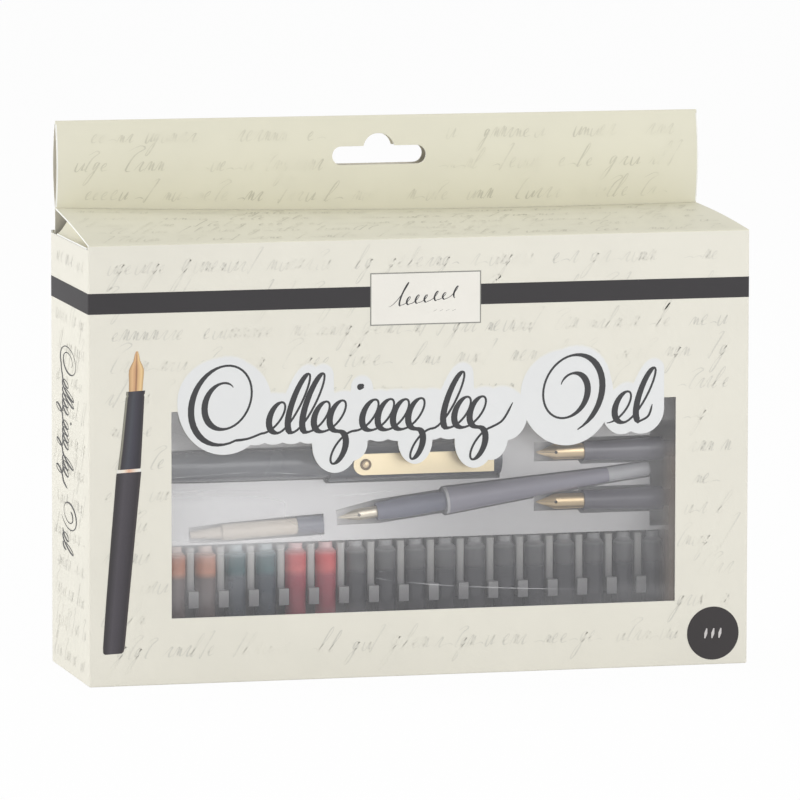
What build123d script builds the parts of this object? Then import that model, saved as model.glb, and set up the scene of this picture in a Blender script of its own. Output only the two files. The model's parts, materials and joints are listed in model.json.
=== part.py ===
from build123d import *
import math
import os

os.makedirs("parts", exist_ok=True)

# Calligraphy set in a hanging window carton. Millimetres, +Z up.
# The origin is the middle of the footprint: X is the width, -Y the front.

# ---- carton ----
carton_width = 230.0
carton_depth = 60.0
carton_height = 149.0
board = 0.6
fold_gap = 0.06
wall_gap = 0.3
front = -carton_depth / 2
back = carton_depth / 2
half_width = carton_width / 2
fold_radius = board / 2

# ---- window in the front panel ----
window_left_margin = 28.5
window_right_margin = 25.8
window_bottom = 22.4
window_height = 70.0
window_left = -half_width + window_left_margin
window_right = half_width - window_right_margin
window_top = window_bottom + window_height
film_thickness = 0.2
film_glue_margin = 5.0

# Lobes of the title's outline that hang into the window. Their centres are measured from the
# window's top left corner: x, z, half width, half height.
oval_lobes = [
    (18.2, 3.1, 16.2, 18.1),
    (137.3, 2.7, 16.2, 18.1),
]
loop_count = 15
loop_first_x = 29.1
loop_pitch = 6.1
loop_centre_z = -2.4
loop_half_width = 8.0
loop_half_height = 9.7
tail_lobes = [
    (56.5, -12.8, 7.9, 9.5),
    (62.3, -12.4, 5.4, 6.0),
    (84.3, -11.7, 6.0, 8.4),
    (105.0, -12.9, 6.9, 9.2),
    (110.8, -11.6, 5.9, 8.0),
]
end_lobes = [
    (116.0, -3.3, 7.6, 9.7),
    (156.5, -3.4, 7.0, 8.8),
    (163.5, -3.4, 8.0, 8.8),
]

# ---- lid, hanging header and their folds ----
lid_inset = 0.4
crease_gap = 0.25
header_left_inset = 0.9
header_right_inset = 3.1
header_rise_left = 36.8
header_rise_right = 36.0
fold_rise_left = 7.2
fold_rise_right = 3.8
header_left = -half_width + header_left_inset
header_right = half_width - header_right_inset
header_top_left = carton_height + header_rise_left
header_top_right = carton_height + header_rise_right
front_bow = 2.4
rear_bow = 3.0
header_fold_y = back - rear_bow - board - fold_radius
tongue_depth = 12.6
tongue_corner = 9.0
hang_slot_length = 33.0
hang_slot_height = 6.4
hang_slot_shift = -0.4
hang_slot_centre_x = (header_left + header_right) / 2 + hang_slot_shift
hang_slot_below_top = 13.5
hang_bump_radius = 5.6
hang_bump_rise = 1.9

# ---- dust flaps and bottom closure ----
flap_gap = 0.25
flap_length = 38.0
flap_front_gap = 1.4
flap_front_taper = 15.5
flap_rear_gap = 6.2
flap_rear_taper = 6.0
seam_flap_width = 15.0
seam_flap_end = 4.0
bottom_inner_depth = 40.0
bottom_flap_length = 42.0
bottom_flap_taper = 5.0

# ---- insert tray ----
tray_sheet = 0.8
tray_setback = 14.0
tray_headroom = 18.0
tray_side_gap = 0.9
tray_back_gap = 0.5
tray_front = front + tray_setback
tray_top = carton_height - tray_headroom
tray_bottom = 3 * board
tray_half = half_width - board - tray_side_gap
tray_corner = 4.0
pocket_gap = 0.5
trough_step = 1.0
row_left_inset = 26.0
row_right_inset = 21.96
row_left = -tray_half + row_left_inset
row_right = tray_half - row_right_inset
row_depth = 7.0
row_margin = 2.14
snap_gap = 0.58
snap_offset = 0.4
snap_lip = 0.75
snap_head_start = 2.4
snap_head_end = 4.1
snap_height = 5.6
finger_recess_overlap = 11.0
finger_recess_inset = 7.5
finger_recess_right = tray_half - finger_recess_inset
finger_recess_margin = 9.7
finger_recess_depth = 11.0
side_recess_lap = 1.0
upper_recess_drop = 12.0
upper_recess_height = 22.0
upper_recess_inset = 23.5
upper_recess_half = tray_half - upper_recess_inset
upper_recess_depth = 6.0

# ---- ink cartridges ----
ink_row = ["orange"] * 2 + ["teal"] * 2 + ["red"] * 2 + ["black"] * 11
ink_radius = 3.7
ink_length = 38.2
ink_floor_height = 4.6
ink_wall = 0.6
ink_neck_radius = 2.4
ink_neck_length = 1.9
ink_shoulder = 1.3
ink_level = 24.0
ink_clearance = 0.08
seal_radius = 1.4
seal_length = 1.4
ink_bottom = tray_bottom + ink_floor_height
ink_first_x = row_left + row_margin + ink_radius
ink_last_x = row_right - row_margin - ink_radius
ink_pitch = (ink_last_x - ink_first_x) / (len(ink_row) - 1)
row_bottom = ink_bottom - pocket_gap
row_top = ink_bottom + ink_length + pocket_gap
snap_rise = 20.1
snap_z = ink_bottom + snap_rise

# ---- capped pen ----
pen_length = 136.5
pen_rise = 26.7
pen_y = tray_front
pen_z = row_top + pen_rise
cap_length = 60.0
cap_radius = 6.6
cap_end_radius = 5.6
cap_wall = 0.9
cap_end_wall = 2.0
barrel_radius = 5.2
barrel_end_radius = 4.3
barrel_taper = 30.0
barrel_bore_length = 62.0
barrel_plug_length = 3.0
barrel_plug_radius = 2.9
clip_setback = 7.3
clip_width = 7.2
clip_thickness = 0.7
clip_stand_off = 0.9
clip_foot = 2.2
clip_end_gap = 3.7
rivet_radius = 1.9
rivet_head = 0.6
rivet_inset = 4.2

# ---- nib units and grip sections ----
grip_length = 28.0
grip_front_radius = 3.5
grip_waist_radius = 3.25
grip_waist = 3.0
grip_rear_radius = 4.1
grip_thread_length = 7.0
grip_thread_radius = 2.9
thread_gap = 0.08
nib_length = 16.5
nib_half_width = 2.6
nib_shoulder = 6.5
nib_radius = 2.8
nib_tip_radius = 0.9
nib_sheet = 0.35
nib_root = 3.2
nib_hole_radius = 0.55
nib_slit = 0.14
socket_gap = 0.06
feed_length = 12.5
pen_nib_tip_gap = 3.5
unit_rise_upper = 28.1
unit_rise_lower = 11.1
unit_stand_out = 0.4
unit_heights = {"upper": row_top + unit_rise_upper, "lower": row_top + unit_rise_lower}
unit_y = tray_front - unit_stand_out
unit_length = nib_length + grip_length

# The pen and the nib units lie in line; what the tray leaves over is shared between its two ends.
pen_to_unit = 13.0
left_end_share = 0.29
line_length = pen_length + pen_to_unit + unit_length + grip_thread_length
pen_left = -tray_half + left_end_share * (2 * tray_half - line_length)
pen_right = pen_left + pen_length
unit_tip_x = pen_right + pen_to_unit
clip_left = pen_right - cap_length + clip_setback

# ---- slanted penholder ----
holder_ring_setback = 18.5
holder_ring_rise = 12.45
holder_sink = 0.2
holder_ring_x = pen_right - holder_ring_setback
holder_ring_z = row_top + holder_ring_rise
holder_y = tray_front + holder_sink
holder_slope = 7.0
holder_barrel_length = 57.0
holder_barrel_radius = 4.6
holder_barrel_end_radius = 2.5
holder_cap_length = 15.0
holder_ring_width = 0.9
holder_grip_length = 10.0
holder_ferrule_length = 14.0
holder_grip_radius = 3.6
holder_grip_end_radius = 3.0
holder_ferrule_radius = 3.2
holder_nib_length = 13.5
holder_tenon_radius = 2.0
holder_tenon_length = 5.0
holder_nib_half_width = 1.9
holder_nib_shoulder = 7.0
holder_nib_radius = 2.1
holder_nib_tip_radius = 0.7
holder_nib_root = 4.0

# ---- ink converter ----
converter_setback = 53.0
converter_rise = 4.6
converter_sink = 0.6
converter_x = pen_left + converter_setback
converter_z = row_top + converter_rise
converter_y = tray_front + converter_sink
converter_slope = 3.0
converter_tube_length = 26.0
converter_tube_radius = 2.8
converter_knob_length = 9.0
converter_knob_radius = 3.1
converter_neck_length = 11.0
converter_neck_radius = 2.2


def save(part, name):
    part.label = name
    export_step(part, f"parts/{name}.step")


def between(left_value, right_value, x):
    share = (x - header_left) / (header_right - header_left)
    return left_value + share * (right_value - left_value)


# ---- the tube of the carton ----
wall_bottom = board
crease_z = carton_height - fold_radius
wall_top = crease_z - fold_radius - fold_gap
flap_axis_z = carton_height - board - flap_gap - fold_radius
side_top = flap_axis_z - fold_radius - fold_gap

with BuildPart() as front_panel:
    with BuildSketch(Plane.XZ.offset(-front)) as front_outline:
        with Locations((0, (wall_bottom + wall_top) / 2)):
            Rectangle(carton_width, wall_top - wall_bottom)
        with BuildSketch(mode=Mode.PRIVATE) as window:
            with Locations(((window_left + window_right) / 2, (window_bottom + window_top) / 2)):
                Rectangle(window_right - window_left, window_top - window_bottom)
            for x, z, half_w, half_h in oval_lobes + tail_lobes + end_lobes:
                with Locations((window_left + x, window_top + z)):
                    Ellipse(half_w, half_h, mode=Mode.SUBTRACT)
            for index in range(loop_count):
                loop_x = window_left + loop_first_x + index * loop_pitch
                with Locations((loop_x, window_top + loop_centre_z)):
                    Ellipse(loop_half_width, loop_half_height, mode=Mode.SUBTRACT)
        add(window.sketch, mode=Mode.SUBTRACT)
    extrude(amount=-board)
save(front_panel.part, "front_panel")


with BuildPart() as back_panel:
    with BuildSketch(Plane.XZ.offset(-back)):
        with Locations((0, (wall_bottom + wall_top) / 2)):
            Rectangle(carton_width, wall_top - wall_bottom)
    extrude(amount=board)
save(back_panel.part, "back_panel")

side_depth = carton_depth - 2 * board
for side, name in ((-1, "left_side_panel"), (1, "right_side_panel")):
    with BuildPart() as side_panel:
        with BuildSketch(Plane.YZ.offset(side * half_width)):
            with Locations((0, (wall_bottom + side_top) / 2)):
                Rectangle(side_depth, side_top - wall_bottom)
        extrude(amount=-side * board)
    save(side_panel.part, name)

seam_right = half_width - board
seam_left = seam_right - seam_flap_width
with BuildPart() as seam_flap:
    with BuildSketch(Plane.XZ.offset(-back + board)):
        with BuildLine():
            Polyline(
                (seam_right, wall_bottom + seam_flap_end),
                (seam_right, side_top - seam_flap_end),
                (seam_left, side_top - 2 * seam_flap_end),
                (seam_left, wall_bottom + 2 * seam_flap_end),
                close=True,
            )
        make_face()
    extrude(amount=board)
save(seam_flap.part, "seam_flap")

# ---- glued bottom closure, four layers ----
inner_half_width = half_width - board - wall_gap
inner_front = front + board
inner_back = back - board
with BuildPart() as bottom_panel:
    with BuildSketch(Plane.XY):
        Rectangle(carton_width, carton_depth)
    extrude(amount=board)
save(bottom_panel.part, "bottom_panel")

with BuildPart() as bottom_inner_flap:
    with BuildSketch(Plane.XY.offset(board)):
        with BuildLine():
            Polyline(
                (-inner_half_width, inner_front),
                (inner_half_width, inner_front),
                (inner_half_width - bottom_flap_taper, inner_front + bottom_inner_depth),
                (-inner_half_width + bottom_flap_taper, inner_front + bottom_inner_depth),
                close=True,
            )
        make_face()
    extrude(amount=board)
save(bottom_inner_flap.part, "bottom_inner_flap")

for side, name in ((-1, "bottom_dust_flap_left"), (1, "bottom_dust_flap_right")):
    hinge_x = side * (half_width - board)
    tip_x = hinge_x - side * bottom_flap_length
    with BuildPart() as bottom_dust_flap:
        with BuildSketch(Plane.XY.offset(2 * board)):
            with BuildLine():
                Polyline(
                    (hinge_x, inner_front + wall_gap),
                    (hinge_x, inner_back - wall_gap),
                    (tip_x, inner_back - wall_gap - bottom_flap_taper),
                    (tip_x, inner_front + wall_gap + bottom_flap_taper),
                    close=True,
                )
            make_face()
        extrude(amount=board)
    save(bottom_dust_flap.part, name)

# ---- clear film glued behind the window ----
with BuildPart() as window_film:
    with BuildSketch(Plane.XZ.offset(-inner_front)):
        with Locations(((window_left + window_right) / 2, (window_bottom + window_top) / 2)):
            Rectangle(
                window_right - window_left + 2 * film_glue_margin,
                window_top - window_bottom + 2 * film_glue_margin,
            )
    extrude(amount=-film_thickness)
save(window_film.part, "window_film")

# ---- lid, folded from the front panel's top edge ----
lid_axis_y = front + fold_radius
lid_front_half = half_width - lid_inset
lid_rear_y = header_fold_y - fold_radius - crease_gap


def fold_height(x):
    rise = between(fold_rise_left, fold_rise_right, x)
    return crease_z + rise


def lid_outline(x):
    share = (lid_rear_y - lid_axis_y) / (header_fold_y - lid_axis_y)
    rear_z = crease_z + (fold_height(x) - crease_z) * share
    with BuildLine() as outline:
        ThreePointArc(
            (lid_axis_y, crease_z - fold_radius),
            (lid_axis_y - fold_radius, crease_z),
            (lid_axis_y, crease_z + fold_radius),
        )
        Polyline(
            (lid_axis_y, crease_z + fold_radius),
            (lid_rear_y, rear_z + fold_radius),
            (lid_rear_y, rear_z - fold_radius),
            (lid_axis_y, crease_z - fold_radius),
        )
    return outline.line


with BuildPart() as lid_panel:
    with BuildSketch(Plane.YZ.offset(-lid_front_half)):
        add(lid_outline(-lid_front_half))
        make_face()
    with BuildSketch(Plane.YZ.offset(lid_front_half)):
        add(lid_outline(lid_front_half))
        make_face()
    loft(ruled=True)
    with BuildSketch(Plane.XY.offset(tray_top)):
        with BuildLine():
            Polyline(
                (-lid_front_half, front),
                (lid_front_half, front),
                (lid_front_half, lid_axis_y),
                (header_right, header_fold_y),
                (header_left, header_fold_y),
                (-lid_front_half, lid_axis_y),
                close=True,
            )
        make_face()
    extrude(amount=carton_height - tray_top + carton_depth, mode=Mode.INTERSECT)
save(lid_panel.part, "lid_panel")

# ---- hanging header: a front and a rear layer that bow apart, and the tongue ----
header_front_face = header_fold_y - fold_radius
header_middle_face = header_fold_y + fold_radius
header_rear_face = header_middle_face + board
tongue_bottom = crease_z - tongue_depth
slot_centre_z = (header_top_left + header_top_right) / 2 - hang_slot_below_top


def front_layer_outline(fold_z, top_z):
    middle_z = (fold_z + top_z) / 2
    with BuildLine() as outline:
        ThreePointArc(
            (header_front_face, fold_z),
            (header_front_face - front_bow, middle_z),
            (header_front_face, top_z),
        )
        Line((header_front_face, top_z), (header_middle_face, top_z))
        ThreePointArc(
            (header_middle_face, top_z),
            (header_middle_face - front_bow, middle_z),
            (header_middle_face, fold_z),
        )
        ThreePointArc(
            (header_middle_face, fold_z),
            (header_fold_y, fold_z - fold_radius),
            (header_front_face, fold_z),
        )
    return outline.line


def rear_layer_outline(fold_z, top_z):
    middle_z = (fold_z + top_z) / 2
    with BuildLine() as outline:
        ThreePointArc(
            (header_middle_face, fold_z),
            (header_middle_face + rear_bow, middle_z),
            (header_middle_face, top_z),
        )
        Line((header_middle_face, top_z), (header_rear_face, top_z))
        ThreePointArc(
            (header_rear_face, top_z),
            (header_rear_face + rear_bow, middle_z),
            (header_rear_face, fold_z),
        )
        Polyline(
            (header_rear_face, fold_z),
            (header_rear_face, tongue_bottom),
            (header_middle_face, tongue_bottom),
            (header_middle_face, fold_z),
        )
    return outline.line


with BuildPart() as hang_slot_cutter:
    with BuildSketch(Plane.XZ.offset(-back)):
        with Locations((hang_slot_centre_x, slot_centre_z)):
            SlotOverall(hang_slot_length, hang_slot_height)
        with Locations((hang_slot_centre_x, slot_centre_z + hang_bump_rise)):
            Circle(hang_bump_radius)
        with Locations((hang_slot_centre_x, slot_centre_z - hang_slot_height / 2 - hang_bump_radius)):
            Rectangle(hang_slot_length, 2 * hang_bump_radius, mode=Mode.SUBTRACT)
    extrude(amount=carton_depth / 2)

with BuildPart() as header_front_layer:
    with BuildSketch(Plane.YZ.offset(header_left)):
        add(front_layer_outline(fold_height(header_left), header_top_left))
        make_face()
    with BuildSketch(Plane.YZ.offset(header_right)):
        add(front_layer_outline(fold_height(header_right), header_top_right))
        make_face()
    loft(ruled=True)
    add(hang_slot_cutter.part, mode=Mode.SUBTRACT)
save(header_front_layer.part, "header_front_layer")

with BuildPart() as header_rear_layer:
    with BuildSketch(Plane.YZ.offset(header_left)):
        add(rear_layer_outline(fold_height(header_left), header_top_left))
        make_face()
    with BuildSketch(Plane.YZ.offset(header_right)):
        add(rear_layer_outline(fold_height(header_right), header_top_right))
        make_face()
    loft(ruled=True)
    add(hang_slot_cutter.part, mode=Mode.SUBTRACT)
    corner_edges = header_rear_layer.edges().filter_by(Axis.Y).group_by(Axis.Z)[0]
    chamfer(corner_edges, length=tongue_corner, length2=tongue_corner / 2)
save(header_rear_layer.part, "header_rear_layer")

# ---- top dust flaps ----
flap_hinge_x = half_width - fold_radius
flap_front_y = inner_front + flap_front_gap
flap_rear_y = header_fold_y - flap_rear_gap
for side, name in ((-1, "dust_flap_left"), (1, "dust_flap_right")):
    hinge_x = side * flap_hinge_x
    tip_x = hinge_x - side * flap_length
    with BuildPart() as dust_flap:
        with BuildSketch(Plane.XY.offset(flap_axis_z - fold_radius)):
            with BuildLine():
                Polyline(
                    (hinge_x, flap_front_y),
                    (hinge_x, flap_rear_y),
                    (tip_x, flap_rear_y - flap_rear_taper),
                    (tip_x, flap_front_y + flap_front_taper),
                    close=True,
                )
            make_face()
        extrude(amount=board)
        with BuildSketch(Plane.XZ.offset(-flap_front_y)):
            with Locations((hinge_x, flap_axis_z)):
                Circle(fold_radius)
        extrude(amount=-(flap_rear_y - flap_front_y))
    save(dust_flap.part, name)

# ---- pieces that lie in the tray ----
def lying_plane(x, y, z, slope):
    along = (math.cos(math.radians(slope)), 0, math.sin(math.radians(slope)))
    return Plane(origin=(x, y, z), x_dir=along, z_dir=(0, -1, 0))


def turned(plane, outline):
    """A round piece: its outline is (distance along the plane's X axis, radius)."""
    with BuildPart() as piece:
        with BuildSketch(plane):
            with BuildLine():
                Polyline(*outline, close=True)
            make_face()
        revolve(axis=Axis(plane.origin, plane.x_dir))
    return piece.part


def grip_section(plane):
    """The section that holds nib and feed, with its threaded end; measured from the nib's tip."""
    bore = nib_radius + socket_gap
    return turned(
        plane,
        [
            (nib_length, bore),
            (nib_length, grip_front_radius),
            (nib_length + grip_waist, grip_waist_radius),
            (unit_length, grip_rear_radius),
            (unit_length, grip_thread_radius),
            (unit_length + grip_thread_length, grip_thread_radius),
            (unit_length + grip_thread_length, 0),
            (nib_length + nib_root + socket_gap, 0),
            (nib_length + nib_root + socket_gap, bore),
        ],
    )


def nib_blade(plane, length, shoulder, half_width, base_radius, tip_radius, root):
    """A pointed half round of sheet metal with shoulders, slit and pierced, open towards the back."""
    end = length + root
    with BuildPart() as blade:
        with BuildSketch(plane):
            with BuildLine():
                Polyline(
                    (0, tip_radius),
                    (shoulder, base_radius),
                    (end, base_radius),
                    (end, base_radius - nib_sheet),
                    (shoulder, base_radius - nib_sheet),
                    (0, tip_radius - nib_sheet),
                    close=True,
                )
            make_face()
        revolve(axis=Axis(plane.origin, plane.x_dir))
        with BuildSketch(plane):
            with BuildLine():
                Polyline(
                    (0, nib_slit),
                    (shoulder, half_width),
                    (end, half_width),
                    (end, -half_width),
                    (shoulder, -half_width),
                    (0, -nib_slit),
                    close=True,
                )
            make_face()
            with Locations((shoulder / 2, 0)):
                Rectangle(shoulder, nib_slit, mode=Mode.SUBTRACT)
            with Locations((shoulder, 0)):
                Circle(nib_hole_radius, mode=Mode.SUBTRACT)
        extrude(amount=2 * base_radius, mode=Mode.INTERSECT)
    return blade.part


def fountain_nib(plane):
    return nib_blade(plane, nib_length, nib_shoulder, nib_half_width, nib_radius, nib_tip_radius, nib_root)


def feed_bar(plane):
    """The ink feed behind the nib, clear of the inside of its cone."""
    inset = nib_sheet + socket_gap
    slope = (nib_radius - nib_tip_radius) / nib_shoulder
    feed_tip = nib_length - feed_length
    feed_radius = nib_radius - inset
    return turned(
        plane,
        [
            (feed_tip, 0),
            (feed_tip, feed_radius - slope * (nib_shoulder - feed_tip)),
            (nib_shoulder, feed_radius),
            (nib_length + nib_root, feed_radius),
            (nib_length + nib_root, 0),
        ],
    )


pen_tip_x = pen_right - cap_end_wall - pen_nib_tip_gap
barrel_front_x = pen_tip_x - unit_length
units = {
    "pen": lying_plane(pen_tip_x, pen_y, pen_z, 180),
    "spare_upper": lying_plane(unit_tip_x, unit_y, unit_heights["upper"], 0),
    "spare_lower": lying_plane(unit_tip_x, unit_y, unit_heights["lower"], 0),
}
for owner, plane in units.items():
    save(grip_section(plane), f"{owner}_grip_section")
    save(fountain_nib(plane), f"{owner}_nib")
    save(feed_bar(plane), f"{owner}_feed")

# ---- barrel, plug, cap and clip of the capped pen ----
barrel_plane = lying_plane(pen_left, pen_y, pen_z, 0)
barrel_length = barrel_front_x - pen_left
bore_radius = grip_thread_radius + thread_gap
bore_end = barrel_length - barrel_bore_length
with BuildPart() as pen_barrel:
    add(
        turned(
            barrel_plane,
            [
                (0, barrel_plug_radius + socket_gap),
                (0, barrel_end_radius),
                (barrel_taper, barrel_radius),
                (barrel_length, barrel_radius),
                (barrel_length, bore_radius),
                (bore_end, bore_radius),
                (bore_end, 0),
                (barrel_plug_length + socket_gap, 0),
                (barrel_plug_length + socket_gap, barrel_plug_radius + socket_gap),
            ],
        )
    )
save(pen_barrel.part, "pen_barrel")

with BuildPart() as pen_barrel_plug:
    with BuildSketch(Plane.YZ.offset(pen_left)):
        with Locations((pen_y, pen_z)):
            Circle(barrel_plug_radius)
    extrude(amount=barrel_plug_length)
save(pen_barrel_plug.part, "pen_barrel_plug")

cap_plane = lying_plane(pen_right - cap_length, pen_y, pen_z, 0)
with BuildPart() as pen_cap:
    add(
        turned(
            cap_plane,
            [
                (0, cap_radius - cap_wall),
                (0, cap_radius),
                (cap_length, cap_end_radius),
                (cap_length, 0),
                (cap_length - cap_end_wall, 0),
                (cap_length - cap_end_wall, cap_end_radius - cap_wall),
            ],
        )
    )
save(pen_cap.part, "pen_cap")

clip_right = pen_right - clip_end_gap
clip_face_y = pen_y - cap_radius - clip_stand_off
with BuildPart() as pen_clip:
    with BuildSketch(Plane.XZ.offset(-clip_face_y)):
        with BuildLine():
            ThreePointArc(
                (clip_left + clip_width / 2, pen_z - clip_width / 2),
                (clip_left, pen_z),
                (clip_left + clip_width / 2, pen_z + clip_width / 2),
            )
            Polyline(
                (clip_left + clip_width / 2, pen_z + clip_width / 2),
                (clip_right, pen_z + clip_width / 2),
                (clip_right, pen_z - clip_width / 2),
                (clip_left + clip_width / 2, pen_z - clip_width / 2),
            )
        make_face()
    extrude(amount=clip_thickness)
    with BuildSketch(Plane.XZ.offset(-clip_face_y)):
        with Locations((clip_right - clip_foot / 2, pen_z)):
            Rectangle(clip_foot, clip_width)
    extrude(amount=-(clip_stand_off + cap_radius))
    add(
        turned(
            cap_plane,
            [
                (0, 0),
                (0, cap_radius + socket_gap),
                (cap_length, cap_end_radius + socket_gap),
                (cap_length, 0),
            ],
        ),
        mode=Mode.SUBTRACT,
    )
save(pen_clip.part, "pen_clip")

with BuildPart() as pen_clip_rivet:
    with BuildSketch(Plane.XZ.offset(-clip_face_y + clip_thickness)):
        with Locations((clip_left + rivet_inset, pen_z)):
            Circle(rivet_radius)
    extrude(amount=rivet_head)
    fillet(pen_clip_rivet.edges().group_by(Axis.Y)[0], radius=rivet_head / 2)
save(pen_clip_rivet.part, "pen_clip_rivet")

# ---- slanted holder: nib, grip, ferrule, ring, tapered barrel and end cap ----
holder_plane = lying_plane(holder_ring_x, holder_y, holder_ring_z, holder_slope)
ring_half = holder_ring_width / 2
ferrule_start = -ring_half - holder_ferrule_length
grip_start = ferrule_start - holder_grip_length
barrel_end = ring_half + holder_barrel_length
tenon_bore = holder_tenon_radius + socket_gap
save(
    turned(
        holder_plane,
        [
            (-ring_half - holder_tenon_length, 0),
            (-ring_half - holder_tenon_length, holder_tenon_radius),
            (ring_half, holder_tenon_radius),
            (ring_half, holder_barrel_radius),
            (barrel_end, holder_barrel_end_radius),
            (barrel_end, holder_tenon_radius),
            (barrel_end + holder_tenon_length, holder_tenon_radius),
            (barrel_end + holder_tenon_length, 0),
        ],
    ),
    "holder_barrel",
)
save(
    turned(
        holder_plane,
        [
            (-ring_half, tenon_bore),
            (-ring_half, holder_barrel_radius),
            (ring_half, holder_barrel_radius),
            (ring_half, tenon_bore),
        ],
    ),
    "holder_ring",
)
ferrule_bore = holder_nib_radius + socket_gap
bore_floor = -ring_half - holder_tenon_length - socket_gap
save(
    turned(
        holder_plane,
        [
            (ferrule_start, ferrule_bore),
            (ferrule_start, holder_grip_radius),
            (-ring_half, holder_ferrule_radius),
            (-ring_half, tenon_bore),
            (bore_floor, tenon_bore),
            (bore_floor, 0),
            (ferrule_start + holder_nib_root, 0),
            (ferrule_start + holder_nib_root, ferrule_bore),
        ],
    ),
    "holder_ferrule",
)
save(
    turned(
        holder_plane,
        [
            (grip_start, ferrule_bore),
            (grip_start, holder_grip_end_radius),
            (ferrule_start, holder_grip_radius),
            (ferrule_start, ferrule_bore),
        ],
    ),
    "holder_grip",
)
with BuildPart() as holder_end_cap:
    add(
        turned(
            holder_plane,
            [
                (barrel_end, tenon_bore),
                (barrel_end, holder_barrel_end_radius),
                (barrel_end + holder_cap_length, holder_barrel_end_radius),
                (barrel_end + holder_cap_length, 0),
                (barrel_end + holder_tenon_length + socket_gap, 0),
                (barrel_end + holder_tenon_length + socket_gap, tenon_bore),
            ],
        )
    )
    fillet(holder_end_cap.edges().sort_by(Axis.X)[-1], radius=holder_barrel_end_radius / 2)
save(holder_end_cap.part, "holder_end_cap")

nib_tip = grip_start - holder_nib_length
slope_cos = math.cos(math.radians(holder_slope))
slope_sin = math.sin(math.radians(holder_slope))
save(
    nib_blade(
        lying_plane(
            holder_ring_x + nib_tip * slope_cos, holder_y, holder_ring_z + nib_tip * slope_sin, holder_slope
        ),
        holder_nib_length,
        holder_nib_shoulder,
        holder_nib_half_width,
        holder_nib_radius,
        holder_nib_tip_radius,
        holder_grip_length + holder_nib_root - socket_gap,
    ),
    "holder_nib",
)

# ---- ink converter ----
converter_plane = lying_plane(converter_x, converter_y, converter_z, converter_slope)
tube_half = converter_tube_length / 2
rod_radius = converter_neck_radius / 2
save(
    turned(
        converter_plane,
        [
            (-tube_half, 0),
            (-tube_half, converter_tube_radius),
            (tube_half, converter_tube_radius),
            (tube_half, 0),
        ],
    ),
    "converter_tube",
)
save(
    turned(
        converter_plane,
        [
            (tube_half, 0),
            (tube_half, converter_knob_radius),
            (tube_half + converter_knob_length, converter_knob_radius),
            (tube_half + converter_knob_length, 0),
        ],
    ),
    "converter_knob",
)
save(
    turned(
        converter_plane,
        [
            (-tube_half, 0),
            (-tube_half, converter_neck_radius),
            (-tube_half - converter_neck_length, rod_radius),
            (-tube_half - converter_neck_length, 0),
        ],
    ),
    "converter_neck",
)

# ---- ink cartridges, necks up, one node for each colour ----
row_floor_y = tray_front + row_depth
ink_y = row_floor_y - pocket_gap - ink_radius
neck_top = ink_bottom + ink_length
body_start = ink_neck_length + ink_shoulder
body_floor = ink_length - ink_wall
bore = ink_radius - ink_wall
neck_bore = seal_radius + ink_clearance


def ink_x(index):
    return ink_first_x + index * ink_pitch


def upright(index, outline):
    """A round piece that stands in the row, measured down from its neck."""
    return turned(
        Plane(origin=(ink_x(index), ink_y, neck_top), x_dir=(0, 0, -1), z_dir=(0, -1, 0)),
        outline,
    )


def cartridge_shell(index):
    return upright(
        index,
        [
            (0, neck_bore),
            (0, ink_neck_radius),
            (ink_neck_length, ink_neck_radius),
            (body_start, ink_radius),
            (body_floor, ink_radius),
            (ink_length, bore),
            (ink_length, 0),
            (body_floor, 0),
            (body_floor, bore),
            (body_start, bore),
            (ink_neck_length, neck_bore),
        ],
    )


def ink_column(index):
    floor = body_floor - ink_clearance
    radius = bore - ink_clearance
    return upright(index, [(floor - ink_level, 0), (floor - ink_level, radius), (floor, radius), (floor, 0)])


def seal_plug(index):
    return upright(index, [(0, 0), (0, seal_radius), (seal_length, seal_radius), (seal_length, 0)])


for colour in dict.fromkeys(ink_row):
    places = [index for index, ink in enumerate(ink_row) if ink == colour]
    with BuildPart() as cartridge_shells:
        for index in places:
            add(cartridge_shell(index))
    save(cartridge_shells.part, f"cartridges_{colour}")
    with BuildPart() as inks:
        for index in places:
            add(ink_column(index))
    save(inks.part, f"ink_{colour}")

with BuildPart() as cartridge_seals:
    for index in range(len(ink_row)):
        add(seal_plug(index))
save(cartridge_seals.part, "cartridge_seals")

# ---- insert tray: a formed sheet with a trough for every piece ----
tray_back = inner_back - board - tray_back_gap
tray_depth = tray_back - tray_front
tray_middle_z = (tray_bottom + tray_top) / 2
unit_end_x = unit_tip_x + unit_length + grip_thread_length
upper_recess_top = tray_top - upper_recess_drop
snap_width = ink_pitch - 2 * (ink_radius + snap_gap)


def trough(plane, outline, growth):
    """The space round a lying piece: its outline, larger by the growth on every side."""
    start = outline[0][0] - growth
    end = outline[-1][0] + growth
    grown = [(start, 0), (start, outline[0][1] + growth)]
    for distance, radius in outline[1:-1]:
        grown.append((distance, radius + growth))
    grown.append((end, outline[-1][1] + growth))
    grown.append((end, 0))
    return turned(plane, grown)


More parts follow.
